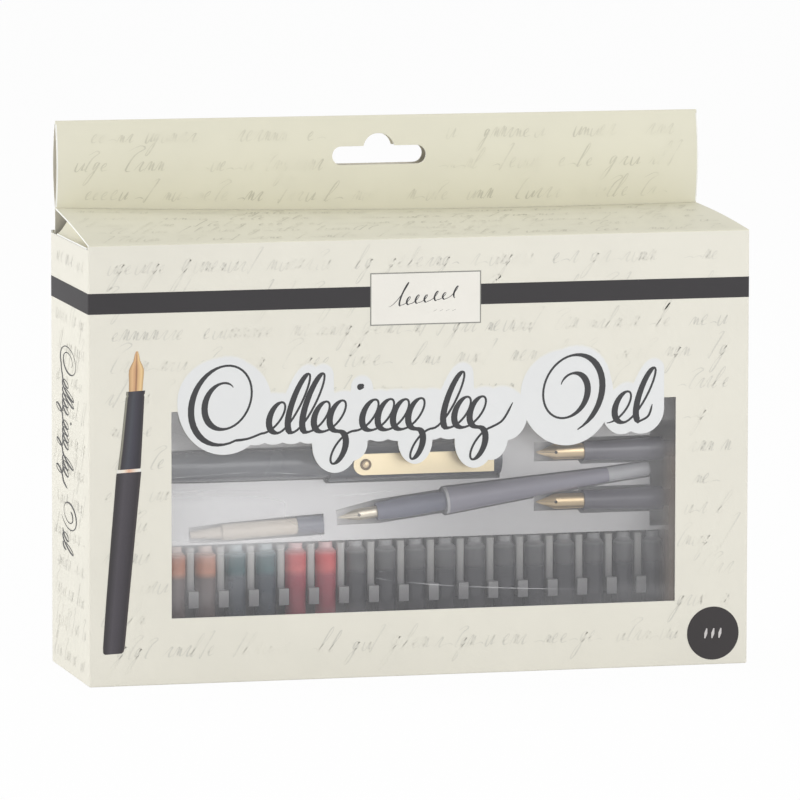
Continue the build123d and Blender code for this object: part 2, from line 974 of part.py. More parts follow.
cap_start = pen_right - cap_length - pen_left
unit_outline = [
    (0, nib_radius),
    (nib_length - pocket_gap - trough_step, nib_radius),
    (nib_length - pocket_gap, grip_rear_radius),
    (unit_length + grip_thread_length, grip_rear_radius),
]
troughs = [
    (
        barrel_plane,
        [
            (0, barrel_end_radius),
            (barrel_taper, barrel_radius),
            (cap_start - pocket_gap - trough_step, barrel_radius),
            (cap_start - pocket_gap, cap_radius),
            (pen_right - pen_left, cap_radius),
        ],
    ),
    (units["spare_upper"], unit_outline),
    (units["spare_lower"], unit_outline),
    (
        holder_plane,
        [
            (nib_tip, holder_nib_radius),
            (grip_start, holder_grip_radius),
            (-ring_half - pocket_gap - trough_step, holder_grip_radius),
            (-ring_half - pocket_gap, holder_barrel_radius),
            (barrel_end, holder_barrel_end_radius),
            (barrel_end + holder_cap_length, holder_barrel_end_radius),
        ],
    ),
    (
        converter_plane,
        [
            (-tube_half - converter_neck_length, converter_neck_radius),
            (-tube_half, converter_tube_radius),
            (tube_half, converter_knob_radius),
            (tube_half + converter_knob_length, converter_knob_radius),
        ],
    ),
]
# Flat pockets: left, right, bottom, top, depth.
flat_pockets = [
    (row_left, row_right, row_bottom, row_top, row_depth),
    (
        unit_end_x - finger_recess_overlap,
        finger_recess_right,
        unit_heights["lower"] - finger_recess_margin,
        unit_heights["upper"] + finger_recess_margin,
        finger_recess_depth,
    ),
    (
        row_right + tray_sheet,
        finger_recess_right,
        row_bottom,
        unit_heights["lower"] - finger_recess_margin + side_recess_lap,
        finger_recess_depth,
    ),
    (
        -upper_recess_half,
        upper_recess_half,
        upper_recess_top - upper_recess_height,
        upper_recess_top,
        upper_recess_depth,
    ),
]


def pocket_block(pocket, growth):
    left, right, bottom, top, depth = pocket
    with BuildPart() as block:
        with BuildSketch(Plane.XZ.offset(-tray_front)):
            with Locations(((left + right) / 2, (bottom + top) / 2)):
                Rectangle(right - left + 2 * growth, top - bottom + 2 * growth)
        extrude(amount=-(depth + growth))
    return block.part


with BuildPart() as insert_tray:
    with BuildSketch(Plane.XZ.offset(-tray_front)):
        with Locations((0, tray_middle_z)):
            RectangleRounded(2 * tray_half, tray_top - tray_bottom, tray_corner)
    extrude(amount=-tray_depth)
    with BuildSketch(Plane.XZ.offset(-tray_front - tray_sheet)):
        with Locations((0, tray_middle_z)):
            RectangleRounded(
                2 * (tray_half - tray_sheet),
                tray_top - tray_bottom - 2 * tray_sheet,
                tray_corner - tray_sheet,
            )
    extrude(amount=-tray_depth, mode=Mode.SUBTRACT)
    for plane, outline in troughs:
        add(trough(plane, outline, pocket_gap + tray_sheet))
    for pocket in flat_pockets:
        add(pocket_block(pocket, tray_sheet))
    with BuildSketch(Plane.XZ.offset(-tray_front)):
        with Locations((0, tray_middle_z)):
            Rectangle(carton_width, carton_height)
    extrude(amount=carton_depth, mode=Mode.SUBTRACT)
    for plane, outline in troughs:
        add(trough(plane, outline, pocket_gap), mode=Mode.SUBTRACT)
    for pocket in flat_pockets:
        add(pocket_block(pocket, 0), mode=Mode.SUBTRACT)
    for index in range(len(ink_row) - 1):
        bump_x = ink_x(index) + ink_pitch / 2 + snap_offset
        with BuildSketch(Plane.XZ.offset(-row_floor_y)):
            with Locations((bump_x, snap_z)):
                Rectangle(snap_width, snap_height)
        extrude(amount=row_floor_y - ink_y + snap_head_start)
        with BuildSketch(Plane.XZ.offset(-ink_y + snap_head_start)):
            with Locations((bump_x, snap_z)):
                Rectangle(snap_width + 2 * snap_lip, snap_height)
        extrude(amount=snap_head_end - snap_head_start)
save(insert_tray.part, "insert_tray")
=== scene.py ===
import bpy
import json
import math
import random
from mathutils import Matrix, Vector
from mathutils.geometry import delaunay_2d_cdt


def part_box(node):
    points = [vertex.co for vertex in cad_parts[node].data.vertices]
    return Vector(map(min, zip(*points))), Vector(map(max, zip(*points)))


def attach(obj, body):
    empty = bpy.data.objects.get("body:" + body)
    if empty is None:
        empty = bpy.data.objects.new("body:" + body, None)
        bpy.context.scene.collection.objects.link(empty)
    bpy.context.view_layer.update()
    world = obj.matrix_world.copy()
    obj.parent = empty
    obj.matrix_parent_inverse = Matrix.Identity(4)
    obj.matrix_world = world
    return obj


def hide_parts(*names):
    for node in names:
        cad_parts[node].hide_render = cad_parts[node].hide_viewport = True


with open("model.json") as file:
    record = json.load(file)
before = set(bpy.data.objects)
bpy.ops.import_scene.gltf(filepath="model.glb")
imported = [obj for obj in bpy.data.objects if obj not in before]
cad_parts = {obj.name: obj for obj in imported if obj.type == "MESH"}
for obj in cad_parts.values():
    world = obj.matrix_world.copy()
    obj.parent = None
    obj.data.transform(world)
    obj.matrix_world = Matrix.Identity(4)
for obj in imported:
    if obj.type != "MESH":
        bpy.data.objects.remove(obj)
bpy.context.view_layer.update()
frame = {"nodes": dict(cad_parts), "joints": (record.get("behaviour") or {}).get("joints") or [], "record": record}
bpy.context.scene.view_settings.view_transform = "Standard"
nodes = frame["nodes"]
joints = {joint["name"]: joint for joint in frame["joints"]}
mm = 0.001
print("frame loaded:", len(nodes), "nodes")

# sizes that the board pieces share, read from the frame
bottomLow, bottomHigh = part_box("bottom_panel")
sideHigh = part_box("left_side_panel")[1]
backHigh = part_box("back_panel")[1]
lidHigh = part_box("lid_panel")[1]
headerLow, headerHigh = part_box("header_front_layer")
filmLow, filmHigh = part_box("window_film")

inset = 0.1 * mm             # the board lies this far inside the solids, and the print takes up the rest
carton = {
    "halfWidth": bottomHigh.x - inset,
    "front": bottomLow.y + inset,
    "back": bottomHigh.y - inset,
    "base": 0.02 * mm,
    "board": 0.6 * mm,
    "corner": 0.7 * mm,      # radius of the upright folds
    "foot": 0.5 * mm,        # radius of the folds round the bottom
}
# heights of the printed layers above the board; a stroke climbs, so that it lies over itself where it crosses
lift = {
    "script": 0.03 * mm,
    "print": 0.055 * mm,
    "title": 0.068 * mm,
    "climb": 0.027 * mm,
    "ink": 0.08 * mm,
    "mark": 0.095 * mm,
}


def srgb(r, g, b):
    def linear(value):
        value /= 255.0
        return value / 12.92 if value <= 0.04045 else ((value + 0.055) / 1.055) ** 2.4

    return (linear(r), linear(g), linear(b), 1.0)


def fillSockets(tree, node, values):
    # a value is a plain one or another node's output
    for key, value in values.items():
        if isinstance(value, bpy.types.NodeSocket):
            tree.links.new(value, node.inputs[key])
        else:
            node.inputs[key].default_value = value


def addNode(tree, kind, values=None, **settings):
    node = tree.nodes.new(kind)
    for key, value in settings.items():
        setattr(node, key, value)
    fillSockets(tree, node, values or {})
    return node


def objectPlace(tree):
    return addNode(tree, "ShaderNodeTexCoord").outputs["Object"]


def placeAxes(tree):
    return addNode(tree, "ShaderNodeSeparateXYZ", {"Vector": objectPlace(tree)}).outputs


def noise(tree, values):
    return addNode(tree, "ShaderNodeTexNoise", {"Vector": objectPlace(tree), **values}).outputs["Fac"]


def calculate(tree, operation, *values):
    return addNode(tree, "ShaderNodeMath", dict(enumerate(values)), operation=operation).outputs[0]


def product(tree, first, *others):
    for value in others:
        first = calculate(tree, "MULTIPLY", first, value)
    return first


def mixColors(tree, first, second, share=1.0, blend="MIX"):
    values = {"Factor": share, 6: first, 7: second}
    return addNode(tree, "ShaderNodeMix", values, data_type="RGBA", blend_type=blend).outputs[2]


def rampValue(tree, value, start, end, kind="SMOOTHSTEP"):
    # 0 before the start and 1 past the end, which may lie either way
    values = {"Value": value, "From Min": start, "From Max": end}
    return addNode(tree, "ShaderNodeMapRange", values, interpolation_type=kind).outputs["Result"]


def colorRamp(tree, value, stops):
    ramp = addNode(tree, "ShaderNodeValToRGB", {"Fac": value})
    elements = ramp.color_ramp.elements
    while len(elements) < len(stops):
        elements.new(0.5)
    for element, (place, color) in zip(elements, stops):
        element.position = place
        element.color = srgb(*color)
    return ramp.outputs["Color"]


def newGroup(name, inputs, outputs):
    # gives the group, what is put in and the node that puts out
    group = bpy.data.node_groups.new(name, "ShaderNodeTree")
    for way, sockets in (("INPUT", inputs), ("OUTPUT", outputs)):
        for label, kind in sockets.items():
            group.interface.new_socket(name=label, in_out=way, socket_type="NodeSocket" + kind)
    return group, group.nodes.new("NodeGroupInput").outputs, group.nodes.new("NodeGroupOutput")


def fromGroup(group, values):
    # a colour that a material takes from a shared group
    def source(tree):
        return addNode(tree, "ShaderNodeGroup", values, node_tree=group).outputs["Color"]

    return source


def surfaceGroup(name, cloud, fine, roughShare):
    # soft patches and a fine grain
    group, given, result = newGroup(
        name, {"Color": "Color", "Shift": "Float", "Roughness": "Float", "Scale": "Float"},
        {"Color": "Color", "Roughness": "Float", "Height": "Float"},
    )
    patches = noise(group, {"Scale": given["Scale"], **cloud})
    dark = calculate(group, "SUBTRACT", 1.0, given["Shift"])
    values = {"Value": patches, "From Min": 0.3, "From Max": 0.7, "To Min": dark, "To Max": 1.0}
    level = addNode(group, "ShaderNodeMapRange", values).outputs["Result"]
    fillSockets(group, result, {
        "Color": mixColors(group, given["Color"], level, blend="MULTIPLY"),
        "Roughness": calculate(group, "MULTIPLY_ADD", patches, roughShare, given["Roughness"]),
        "Height": noise(group, fine),
    })
    return group


# blotches and fibre of coated board, and flow marks and handling haze on plastic and plated metal
boardGrain = surfaceGroup("boardGrain", {"Detail": 3.0, "Roughness": 0.55},
                          {"Scale": 2600.0, "Detail": 2.0, "Roughness": 0.6}, 0.06)
mouldedSkin = surfaceGroup("mouldedSkin", {"Detail": 4.0, "Roughness": 0.6},
                           {"Scale": 1500.0, "Detail": 1.0}, 0.12)


def newMaterial(name):
    material = bpy.data.materials.new(name)
    material.use_nodes = True
    tree = material.node_tree
    return material, tree, tree.nodes["Principled BSDF"]


def surfaceMaterial(name, group, look, bump, sockets, colorSource):
    material, tree, shader = newMaterial(name)
    if colorSource:
        look["Color"] = colorSource(tree)
    skin = addNode(tree, "ShaderNodeGroup", look, node_tree=group).outputs
    values = {"Strength": bump, "Distance": 0.02 * mm, "Height": skin["Height"]}
    normal = addNode(tree, "ShaderNodeBump", values).outputs["Normal"]
    given = {"Base Color": skin["Color"], "Roughness": skin["Roughness"], "Normal": normal}
    fillSockets(tree, shader, {**given, **sockets})
    return material


def boardMaterial(name, color, shift=0.035, roughness=0.5, colorSource=None):
    look = {"Color": srgb(*color), "Shift": shift, "Roughness": roughness, "Scale": 38.0}
    return surfaceMaterial(name, boardGrain, look, 0.12, {"Specular IOR Level": 0.35}, colorSource)


def plasticMaterial(name, color, roughness, shift, scale=60.0, metal=0.0, coat=0.0, alpha=1.0, bump=0.02,
                    colorSource=None):
    look = {"Color": srgb(*color), "Shift": shift, "Roughness": roughness, "Scale": scale}
    sockets = {"Metallic": metal, "Coat Weight": coat, "Coat Roughness": 0.08, "Alpha": alpha}
    return surfaceMaterial(name, mouldedSkin, look, bump, sockets, colorSource)


def fadingInkGroup():
    # faded writing: the ink comes and goes over the board in soft patches
    group, given, result = newGroup("fadingInk", {"Board": "Color", "Ink": "Color"}, {"Color": "Color"})
    patch = noise(group, {"Scale": 55.0, "Detail": 4.0, "Roughness": 0.7})
    share = rampValue(group, patch, 0.4, 0.62, "LINEAR")
    fillSockets(group, result, {"Color": mixColors(group, given["Board"], given["Ink"], share)})
    return group


def acrossRamp(stops):
    # colours across the width of a printed part, read from its own attribute
    def source(tree):
        share = addNode(tree, "ShaderNodeAttribute", attribute_name="across").outputs["Fac"]
        return colorRamp(tree, share, stops)

    return source


# the top cream is a darker, yellower copy of the cream, painted as shade on the lid, the header and the dust
# flaps; the faded ink on them is a shaded copy too
cream, creamShadedTop, white = (229, 226, 214), (226, 223, 204), (226, 227, 227)
creamPrint = boardMaterial("creamPrint", cream)
creamPrintShadedTop = boardMaterial("creamPrintShadedTop", creamShadedTop)
cutEdge = boardMaterial("cutEdge", (243, 243, 238), 0.02, 0.8)
boardInside = boardMaterial("boardInside", (240, 235, 219), 0.05, 0.8)
fadingInk = fadingInkGroup()
faded = {"Board": srgb(*cream), "Ink": srgb(211, 209, 199)}
fadedShadedTop = {"Board": srgb(*creamShadedTop), "Ink": srgb(203, 200, 182)}
scriptInk = boardMaterial("scriptInk", cream, colorSource=fromGroup(fadingInk, faded))
scriptInkShadedTop = boardMaterial("scriptInkShadedTop", creamShadedTop, colorSource=fromGroup(fadingInk, fadedShadedTop))
stripeInk = boardMaterial("stripeInk", (58, 56, 58), 0.08, 0.62)
titleInk = boardMaterial("titleInk", (60, 60, 62), 0.05, 0.45)
titleWhite = boardMaterial("titleWhite", white, 0.02, 0.45, acrossRamp([(0.0, white), (1.0, cream)]))
badgeInk = boardMaterial("badgeInk", (50, 46, 47), 0.06, 0.4)
badgeMark = boardMaterial("badgeMark", (205, 201, 200), 0.05, 0.45)
plateInk = boardMaterial("plateInk", (235, 232, 224), 0.03, 0.5)
plateLine = boardMaterial("plateLine", (140, 140, 134), 0.03, 0.5)
print("board materials made")


def addPiece(name, verts, faces, materials, body, indices=None, smooth=True, replaced=()):
    mesh = bpy.data.meshes.new(name)
    mesh.from_pydata([tuple(v) for v in verts], [], faces)
    mesh.validate()
    for material in materials:
        mesh.materials.append(material)
    if indices is not None:
        mesh.polygons.foreach_set("material_index", indices)
    if smooth:
        mesh.shade_smooth()
    piece = bpy.data.objects.new(name, mesh)
    bpy.context.scene.collection.objects.link(piece)
    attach(piece, body)
    if replaced:
        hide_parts(*replaced)
    return piece


def addAcross(piece, values):
    layer = piece.data.attributes.new("across", "FLOAT", "POINT")
    layer.data.foreach_set("value", values)


def settle(piece, angle):
    # applies the modifiers and keeps every edge sharper than the angle crisp
    graph = bpy.context.evaluated_depsgraph_get()
    piece.data = bpy.data.meshes.new_from_object(piece.evaluated_get(graph))
    piece.modifiers.clear()
    piece.data.shade_smooth()
    piece.data.set_sharp_from_angle(angle=math.radians(angle))


def addBoard(name, verts, faces, body, replaced, look=creamPrint, share=1.0, angle=30):
    # a sheet of board: its first side is the print, its other side bare, its rim the cut edge
    piece = addPiece(name, verts, faces, [look, boardInside, cutEdge], body, replaced=replaced)
    modifier = piece.modifiers.new("board", "SOLIDIFY")
    modifier.thickness = carton["board"] * share
    modifier.offset = -1.0
    modifier.use_even_offset = True
    modifier.material_offset = 1
    modifier.material_offset_rim = 2
    settle(piece, angle)


def gridFaces(rows, columns, start=0, flip=False, closed=False):
    # quads between the rows of a grid of points; closed joins the two ends of each row
    faces = []
    for row in range(rows - 1):
        for k in range(columns if closed else columns - 1):
            a = start + row * columns + k
            b = start + row * columns + (k + 1) % columns
            quad = (a, b, b + columns, a + columns)
            faces.append(quad[::-1] if flip else quad)
    return faces


def arc(cx, cy, radius, start, end, steps):
    # points of an arc between two angles in degrees
    points = []
    for k in range(steps + 1):
        angle = math.radians(start + (end - start) * k / steps)
        points.append((cx + radius * math.cos(angle), cy + radius * math.sin(angle)))
    return points


def insidePolygon(point, polygon):
    x, y = point
    inside = False
    xj, yj = polygon[-1]
    for xi, yi in polygon:
        if (yi > y) != (yj > y) and x < (xj - xi) * (y - yi) / (yj - yi) + xi:
            inside = not inside
        xj, yj = xi, yi
    return inside


def fillOutline(outer, holes=(), extraPoints=()):
    # triangles of a flat outline with holes, in its own two coordinates
    points, edges = [], []
    for loop in [outer] + list(holes):
        start, count = len(points), len(loop)
        points.extend(Vector(p) for p in loop)
        edges.extend((start + k, start + (k + 1) % count) for k in range(count))
    points.extend(Vector(p) for p in extraPoints)
    verts, _, faces, _, _, _ = delaunay_2d_cdt(points, edges, [], 0, 1e-7)
    kept = []
    for face in faces:
        centre = sum((verts[i] for i in face), Vector((0, 0))) / len(face)
        if insidePolygon(centre, outer) and not any(insidePolygon(centre, hole) for hole in holes):
            a, b, c = (verts[face[k]] for k in range(3))
            kept.append(tuple(face) if (b - a).cross(c - a) > 0 else tuple(reversed(face)))
    return verts, kept


def rectangle(left, right, low, high):
    return [(left, low), (right, low), (right, high), (left, high)]


# the window and the lobes under the title, in millimetres
window = {
    "left": -86.5,
    "right": 89.2,
    "bottom": 22.4,
    "top": 92.4,
    # centre x and z from the window's top left corner, half width, half height
    "ovals": [(18.2, 3.1, 16.2, 18.1), (137.3, 2.7, 16.2, 18.1)],
    "loops": [(29.1 + 6.1 * k, -2.4, 8.0, 9.7) for k in range(15)],
    "tails": [(56.5, -12.8, 7.9, 9.5), (62.3, -12.4, 5.4, 6.0), (84.3, -11.7, 6.0, 8.4),
              (105.0, -12.9, 6.9, 9.2), (110.8, -11.6, 5.9, 8.0)],
    "ends": [(116.0, -3.3, 7.6, 9.7), (156.5, -3.4, 7.0, 8.8), (163.5, -3.4, 8.0, 8.8)],
}
lobes = [
    (window["left"] + x, window["top"] + z, halfWide, halfHigh)
    for kind in ("ovals", "loops", "tails", "ends") for x, z, halfWide, halfHigh in window[kind]
]
lobesLeft = min(x - halfWide for x, _, halfWide, _ in lobes)
lobesRight = max(x + halfWide for x, _, halfWide, _ in lobes)


def lobeStations():
    # x places that lie close together where a lobe's side is steep
    return {round(x - half * math.cos(math.pi * k / 40), 4) for x, _, half, _ in lobes for k in range(41)}


def lobeEdge(x, rise):
    # heights at this x of the edges of all lobes there; rise is -1 for their lower edges
    heights = []
    for cx, cz, halfWide, halfHigh in lobes:
        share = (x - cx) / halfWide
        if abs(share) < 1:
            heights.append(cz + rise * halfHigh * math.sqrt(1 - share * share))
    return heights


def windowOutline():
    top = [(window["left"], window["top"])]
    for x in sorted(lobeStations()):
        if window["left"] < x < window["right"]:
            top.append((x, min([window["top"]] + lobeEdge(x, -1))))
    top.append((window["right"], window["top"]))
    corners = [(window["right"], window["bottom"]), (window["left"], window["bottom"])]
    return [(x * mm, z * mm) for x, z in top + corners]


# the carton's faces as flat places: across, up and lift give a point
def onFront(u, v, up):
    return (u, carton["front"] - up, v)


def onBack(u, v, up):
    return (-u, carton["back"] + up, v)


def onLeft(u, v, up):
    return (-carton["halfWidth"] - up, -u, v)


def onRight(u, v, up):
    return (carton["halfWidth"] + up, u, v)


wallTop = joints["lid_hinge"]["pos_m"][2] - 0.02 * mm    # just under the lid's fold
flatHalf = carton["halfWidth"] - carton["corner"]


def footRows():
    # (how far in, height) down the fold at the bottom, from its upper end
    radius = carton["foot"]
    return arc(radius, carton["base"] + radius, radius, 180, 270, 6)


def uprightSheet(name, holes, place, top, replaced):
    foot = footRows()
    flat, faces = fillOutline(rectangle(-flatHalf, flatHalf, foot[0][1], top), holes)
    verts = [place(v.x, v.y, 0) for v in flat]
    above = []
    for side in (-1, 1):
        corner = Vector((side * flatHalf, foot[0][1]))
        above.append(min(range(len(flat)), key=lambda i: (flat[i] - corner).length))
    for inward, z in foot[1:]:
        row = [len(verts), len(verts) + 1]
        verts += [place(-flatHalf, z, -inward), place(flatHalf, z, -inward)]
        faces.append((row[0], row[1], above[1], above[0]))
        above = row
    addBoard(name, verts, faces, "carton", [replaced])


def sleeveProfile(inward, side):
    # one side wall's plan with its two rounded folds, from front to back
    radius = carton["corner"] - inward
    middle = carton["halfWidth"] - inward - radius
    plan = arc(middle, carton["front"] + inward + radius, radius, -90, 0, 8)
    plan += arc(middle, carton["back"] - inward - radius, radius, 0, 90, 8)
    return [(side * x, y) for x, y in plan]


def sideSheet(name, side, replaced):
    levels = [(0.0, sideHigh.z)] + footRows()
    verts = [(x, y, z) for inward, z in levels for x, y in sleeveProfile(inward, side)]
    plan = sleeveProfile(0, side)
    count = len(plan)
    faces = gridFaces(len(levels), count, flip=True)
    # the rounded folds reach as high as the front and back walls
    raised = len(verts)
    for k, (x, y) in enumerate(plan):
        verts.append((x, y, wallTop if k < count / 2 else backHigh.z))
        if k % (count // 2):
            faces.append((k - 1, k, raised + k, raised + k - 1))
    if side < 0:
        faces = [face[::-1] for face in faces]
    addBoard(name, verts, faces, "carton", [replaced])


uprightSheet("frontWall", [windowOutline()], onFront, wallTop, "front_panel")
uprightSheet("backWall", [], onBack, backHigh.z, "back_panel")
sideSheet("leftWall", -1, "left_side_panel")
sideSheet("rightWall", 1, "right_side_panel")

bottomFlap = {"clear": 0.03 * mm, "cornerCut": 3.0 * mm, "boardShare": 0.9}


def makeBottom():
    # the glued bottom flap inside the rounded foot, with its rear corners cut
    hollow, cut = carton["foot"] + bottomFlap["clear"], bottomFlap["cornerCut"]
    wide, front, back = carton["halfWidth"] - hollow, carton["front"] + hollow, carton["back"] - hollow
    outline = [(-wide, front), (wide, front), (wide, back - cut), (wide - cut, back),
               (-wide + cut, back), (-wide, back - cut)]
    flat, faces = fillOutline(outline)
    verts = [(v.x, v.y, carton["base"]) for v in flat]
    faces = [face[::-1] for face in faces]
    addBoard("bottomFlap", verts, faces, "carton", ["bottom_panel"], share=bottomFlap["boardShare"])


makeBottom()
print("walls made")

# the lid and the header, two sheets that meet at a slanting crease
lidShape = {
    "axisY": joints["lid_hinge"]["pos_m"][1],
    "axisZ": joints["lid_hinge"]["pos_m"][2],
    "nose": 0.3 * mm,
    "riseLeft": 7.2 * mm,    # height of the rear crease above the front fold
    "riseRight": 3.8 * mm,
    "sag": 1.5 * mm,         # the crease hangs a little in its middle
    "crown": 0.5 * mm,
    "rearGap": 0.25 * mm,
    "depth": 55.4 * mm,      # as the writing is laid out on it
    "columns": 48,
    "rows": 14,
    "noseSteps": 6,
}
header = {
    "left": headerLow.x,
    "right": headerHigh.x,
    "foldY": 26.1 * mm,
    "topLeft": 185.8 * mm,
    "topRight": 185.0 * mm,
    "frontBow": 2.4 * mm,
    "rearBow": 2.9 * mm,
    "height": 33.0 * mm,     # of each bowed layer, as the writing is laid out on it
    "tongueBottom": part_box("header_rear_layer")[0].z,
    "tongueCorner": 9.0 * mm,
    "slotX": -1.5 * mm,
    "slotZ": 171.9 * mm,
    "slotLength": 33.0 * mm,
    "slotHeight": 6.4 * mm,
    "bumpRadius": 5.6 * mm,
    "bumpRise": 1.9 * mm,
    "boardShare": 0.92,      # thickness, as a share of the carton's board
    "margin": 0.45 * mm,     # the white strip down each end, in the cut edge's colour, and how far it stops short of the folds
    "marginShort": 0.02,
    # lengths along the sheet of front layer, top fold, rear layer and tongue, and the steps along each
    "spans": [36.4 * mm, 1.9 * mm, 36.4 * mm, 18.0 * mm],
    "steps": [10, 8, 10, 3],
    "columns": 56,
}


def across(x):
    return (x - header["left"]) / (header["right"] - header["left"])


def creaseZ(x):
    share = across(x)
    straight = lidShape["axisZ"] + lidShape["riseLeft"] * (1 - share) + lidShape["riseRight"] * share
    inside = max(0.0, min(1.0, share))
    return straight - lidShape["sag"] * 4 * inside * (1 - inside)


def lidPoint(share, depth, up=0.0):
    # share runs from left to right, depth from the front fold to the rear crease
    frontX = -lidHigh.x + 2 * lidHigh.x * share
    rearX = header["left"] + (header["right"] - header["left"]) * share
    x = frontX + (rearX - frontX) * depth
    frontY = lidShape["axisY"] + inset / 2
    rearY = header["foldY"] - lidShape["nose"] - lidShape["rearGap"]
    y = frontY + (rearY - frontY) * depth
    rise = (creaseZ(x) - lidShape["axisZ"]) * depth
    z = lidShape["axisZ"] + lidShape["nose"] + rise + lidShape["crown"] * math.sin(math.pi * depth)
    return Vector((x, y, z + up))


def onLid(u, v, up):
    # v is the depth behind the front fold
    share = (u + lidHigh.x) / (2 * lidHigh.x)
    return lidPoint(share, v / lidShape["depth"], up)


def makeLid():
    columns, rows, noseSteps = lidShape["columns"], lidShape["rows"], lidShape["noseSteps"]
    noseRadius = lidShape["axisY"] - carton["front"] + inset / 2
    verts = []
    for i in range(columns + 1):
        share = i / columns
        front = lidPoint(share, 0.0)
        for k in range(noseSteps):
            angle = math.pi * (1.5 - k / noseSteps)
            y = front.y + noseRadius * math.cos(angle)
            verts.append((front.x, y, front.z - lidShape["nose"] * (1 - math.sin(angle))))
        verts += [lidPoint(share, k / rows) for k in range(rows + 1)]
        verts += [lidPoint(share, k / rows, -carton["board"]) for k in range(rows, 0, -1)]
    # print on the top, bare board below, the cut edge at the rear and at both ends
    top = noseSteps + rows
    count = top + 1 + rows
    faces = gridFaces(columns + 1, count, flip=True, closed=True)
    indices = [0 if k < top else 2 if k == top else 1 for k in range(count)] * columns
    faces += [tuple(reversed(range(count))), tuple(range(columns * count, (columns + 1) * count))]
    indices += [2, 2]
    materials = [creamPrintShadedTop, boardInside, cutEdge]
    settle(addPiece("lidSheet", verts, faces, materials, "lid", indices, replaced=["lid_panel"]), 40)


def headerPoint(x, run):
    # run: 0 to 1 up the front layer, 1 to 2 over the top fold, 2 to 3 down the rear layer, 3 to 4 the tongue
    board = carton["board"]
    base = creaseZ(x)
    share = across(x)
    top = header["topLeft"] * (1 - share) + header["topRight"] * share - board
    middle = header["foldY"] + lidShape["nose"]
    if run <= 1:
        bow = header["frontBow"] * 4 * run * (1 - run)
        return Vector((x, middle - board - bow, base + (top - base) * run))
    if run <= 2:
        angle = math.pi * (run - 1)
        return Vector((x, middle - board * math.cos(angle), top + board * math.sin(angle)))
    if run <= 3:
        drop = run - 2
        bow = header["rearBow"] * 4 * drop * (1 - drop)
        return Vector((x, middle + board + bow, top + (base - top) * drop))
    return Vector((x, middle + board, base + (header["tongueBottom"] - base) * (run - 3)))


def onHeaderFront(u, v, up):
    run = v / header["height"]
    lean = math.atan2(header["frontBow"] * 4 * (1 - 2 * run), header["height"])
    return headerPoint(u, run) + Vector((0, -math.cos(lean), -math.sin(lean))) * up


def onHeaderRear(u, v, up):
    drop = 1 - v / header["height"]
    lean = math.atan2(header["rearBow"] * 4 * (1 - 2 * drop), header["height"])
    return headerPoint(-u, 2 + drop) + Vector((0, math.cos(lean), math.sin(lean))) * up


def hangSlotOutline():
    # clockwise from the slot's left end
    radius = header["slotHeight"] / 2
    arm = header["slotLength"] / 2 - radius
    cx, cz, bump, rise = header["slotX"], header["slotZ"], header["bumpRadius"], header["bumpRise"]
    start = math.degrees(math.asin((radius - rise) / bump))
    outline = arc(cx - arm, cz, radius, 270, 90, 12)
    outline += arc(cx, cz + rise, bump, 180 - start, start, 20)
    return outline + arc(cx + arm, cz, radius, 90, -90, 12)


def makeHeader():
    # lengths along the sheet stand for run, so that its triangles stay even
    ends = [sum(header["spans"][:k]) for k in range(5)]

    def runAt(length):
        k = sum(length > end for end in ends[1:4])
        return k + (length - ends[k]) / (ends[k + 1] - ends[k])

    def lengthAt(run):
        k = min(3, int(run))
        return ends[k] + (ends[k + 1] - ends[k]) * (run - k)

    def slotLoop(rear):
        loop = []
        for x, z in hangSlotOutline():
            low, high = headerPoint(x, 0).z, headerPoint(x, 1).z
            share = (z - low) / (high - low)
            loop.append((x, lengthAt(3 - share if rear else share)))
        return loop

    left, right, corner, total = header["left"], header["right"], header["tongueCorner"], ends[4]
    xs = [left + (right - left) * k / header["columns"] for k in range(header["columns"] + 1)]
    rows = []
    for end, span, steps in zip(ends, header["spans"], header["steps"]):
        rows += [end + span * k / steps for k in range(1, steps + 1)]
    rows.pop()
    outline = [(x, 0.0) for x in xs]
    outline += [(right, row) for row in rows if row < total - corner]
    outline += [(right, total - corner), (right - corner / 2, total)]
    outline += [(left + corner / 2, total), (left, total - corner)]
    outline += [(left, row) for row in reversed(rows) if row < total - corner]
    slots = [slotLoop(False), slotLoop(True)]
    inner = []
    for row in rows:
        for x in xs[1:-1]:
            nearEnd = row > total - corner and (x < left + corner or x > right - corner)
            if not nearEnd and not any(insidePolygon((x, row), slot) for slot in slots):
                inner.append((x, row))
    flat, faces = fillOutline(outline, slots, inner)
    verts = [headerPoint(v.x, runAt(v.y)) for v in flat]
    layers = ["header_front_layer", "header_rear_layer"]
    addBoard("headerSheet", verts, faces, "header", layers, creamPrintShadedTop, header["boardShare"], 50)


makeLid()
makeHeader()

dustFlap = {
    "rise": 6.0 * mm,
    "clear": 0.35 * mm,
    "frontTaper": 15.5 * mm,
    "rearTaper": 2.0 * mm,
    "boardShare": 0.9,
    "columns": 24,
    "rows": 20,
}


def lidUnderside(x, y):
    depth = (y - lidShape["axisY"]) / (header["foldY"] - lidShape["axisY"])
    rise = (creaseZ(x) - lidShape["axisZ"]) * depth + lidShape["crown"] * math.sin(math.pi * depth)
    return lidShape["axisZ"] + lidShape["nose"] + rise - carton["board"]


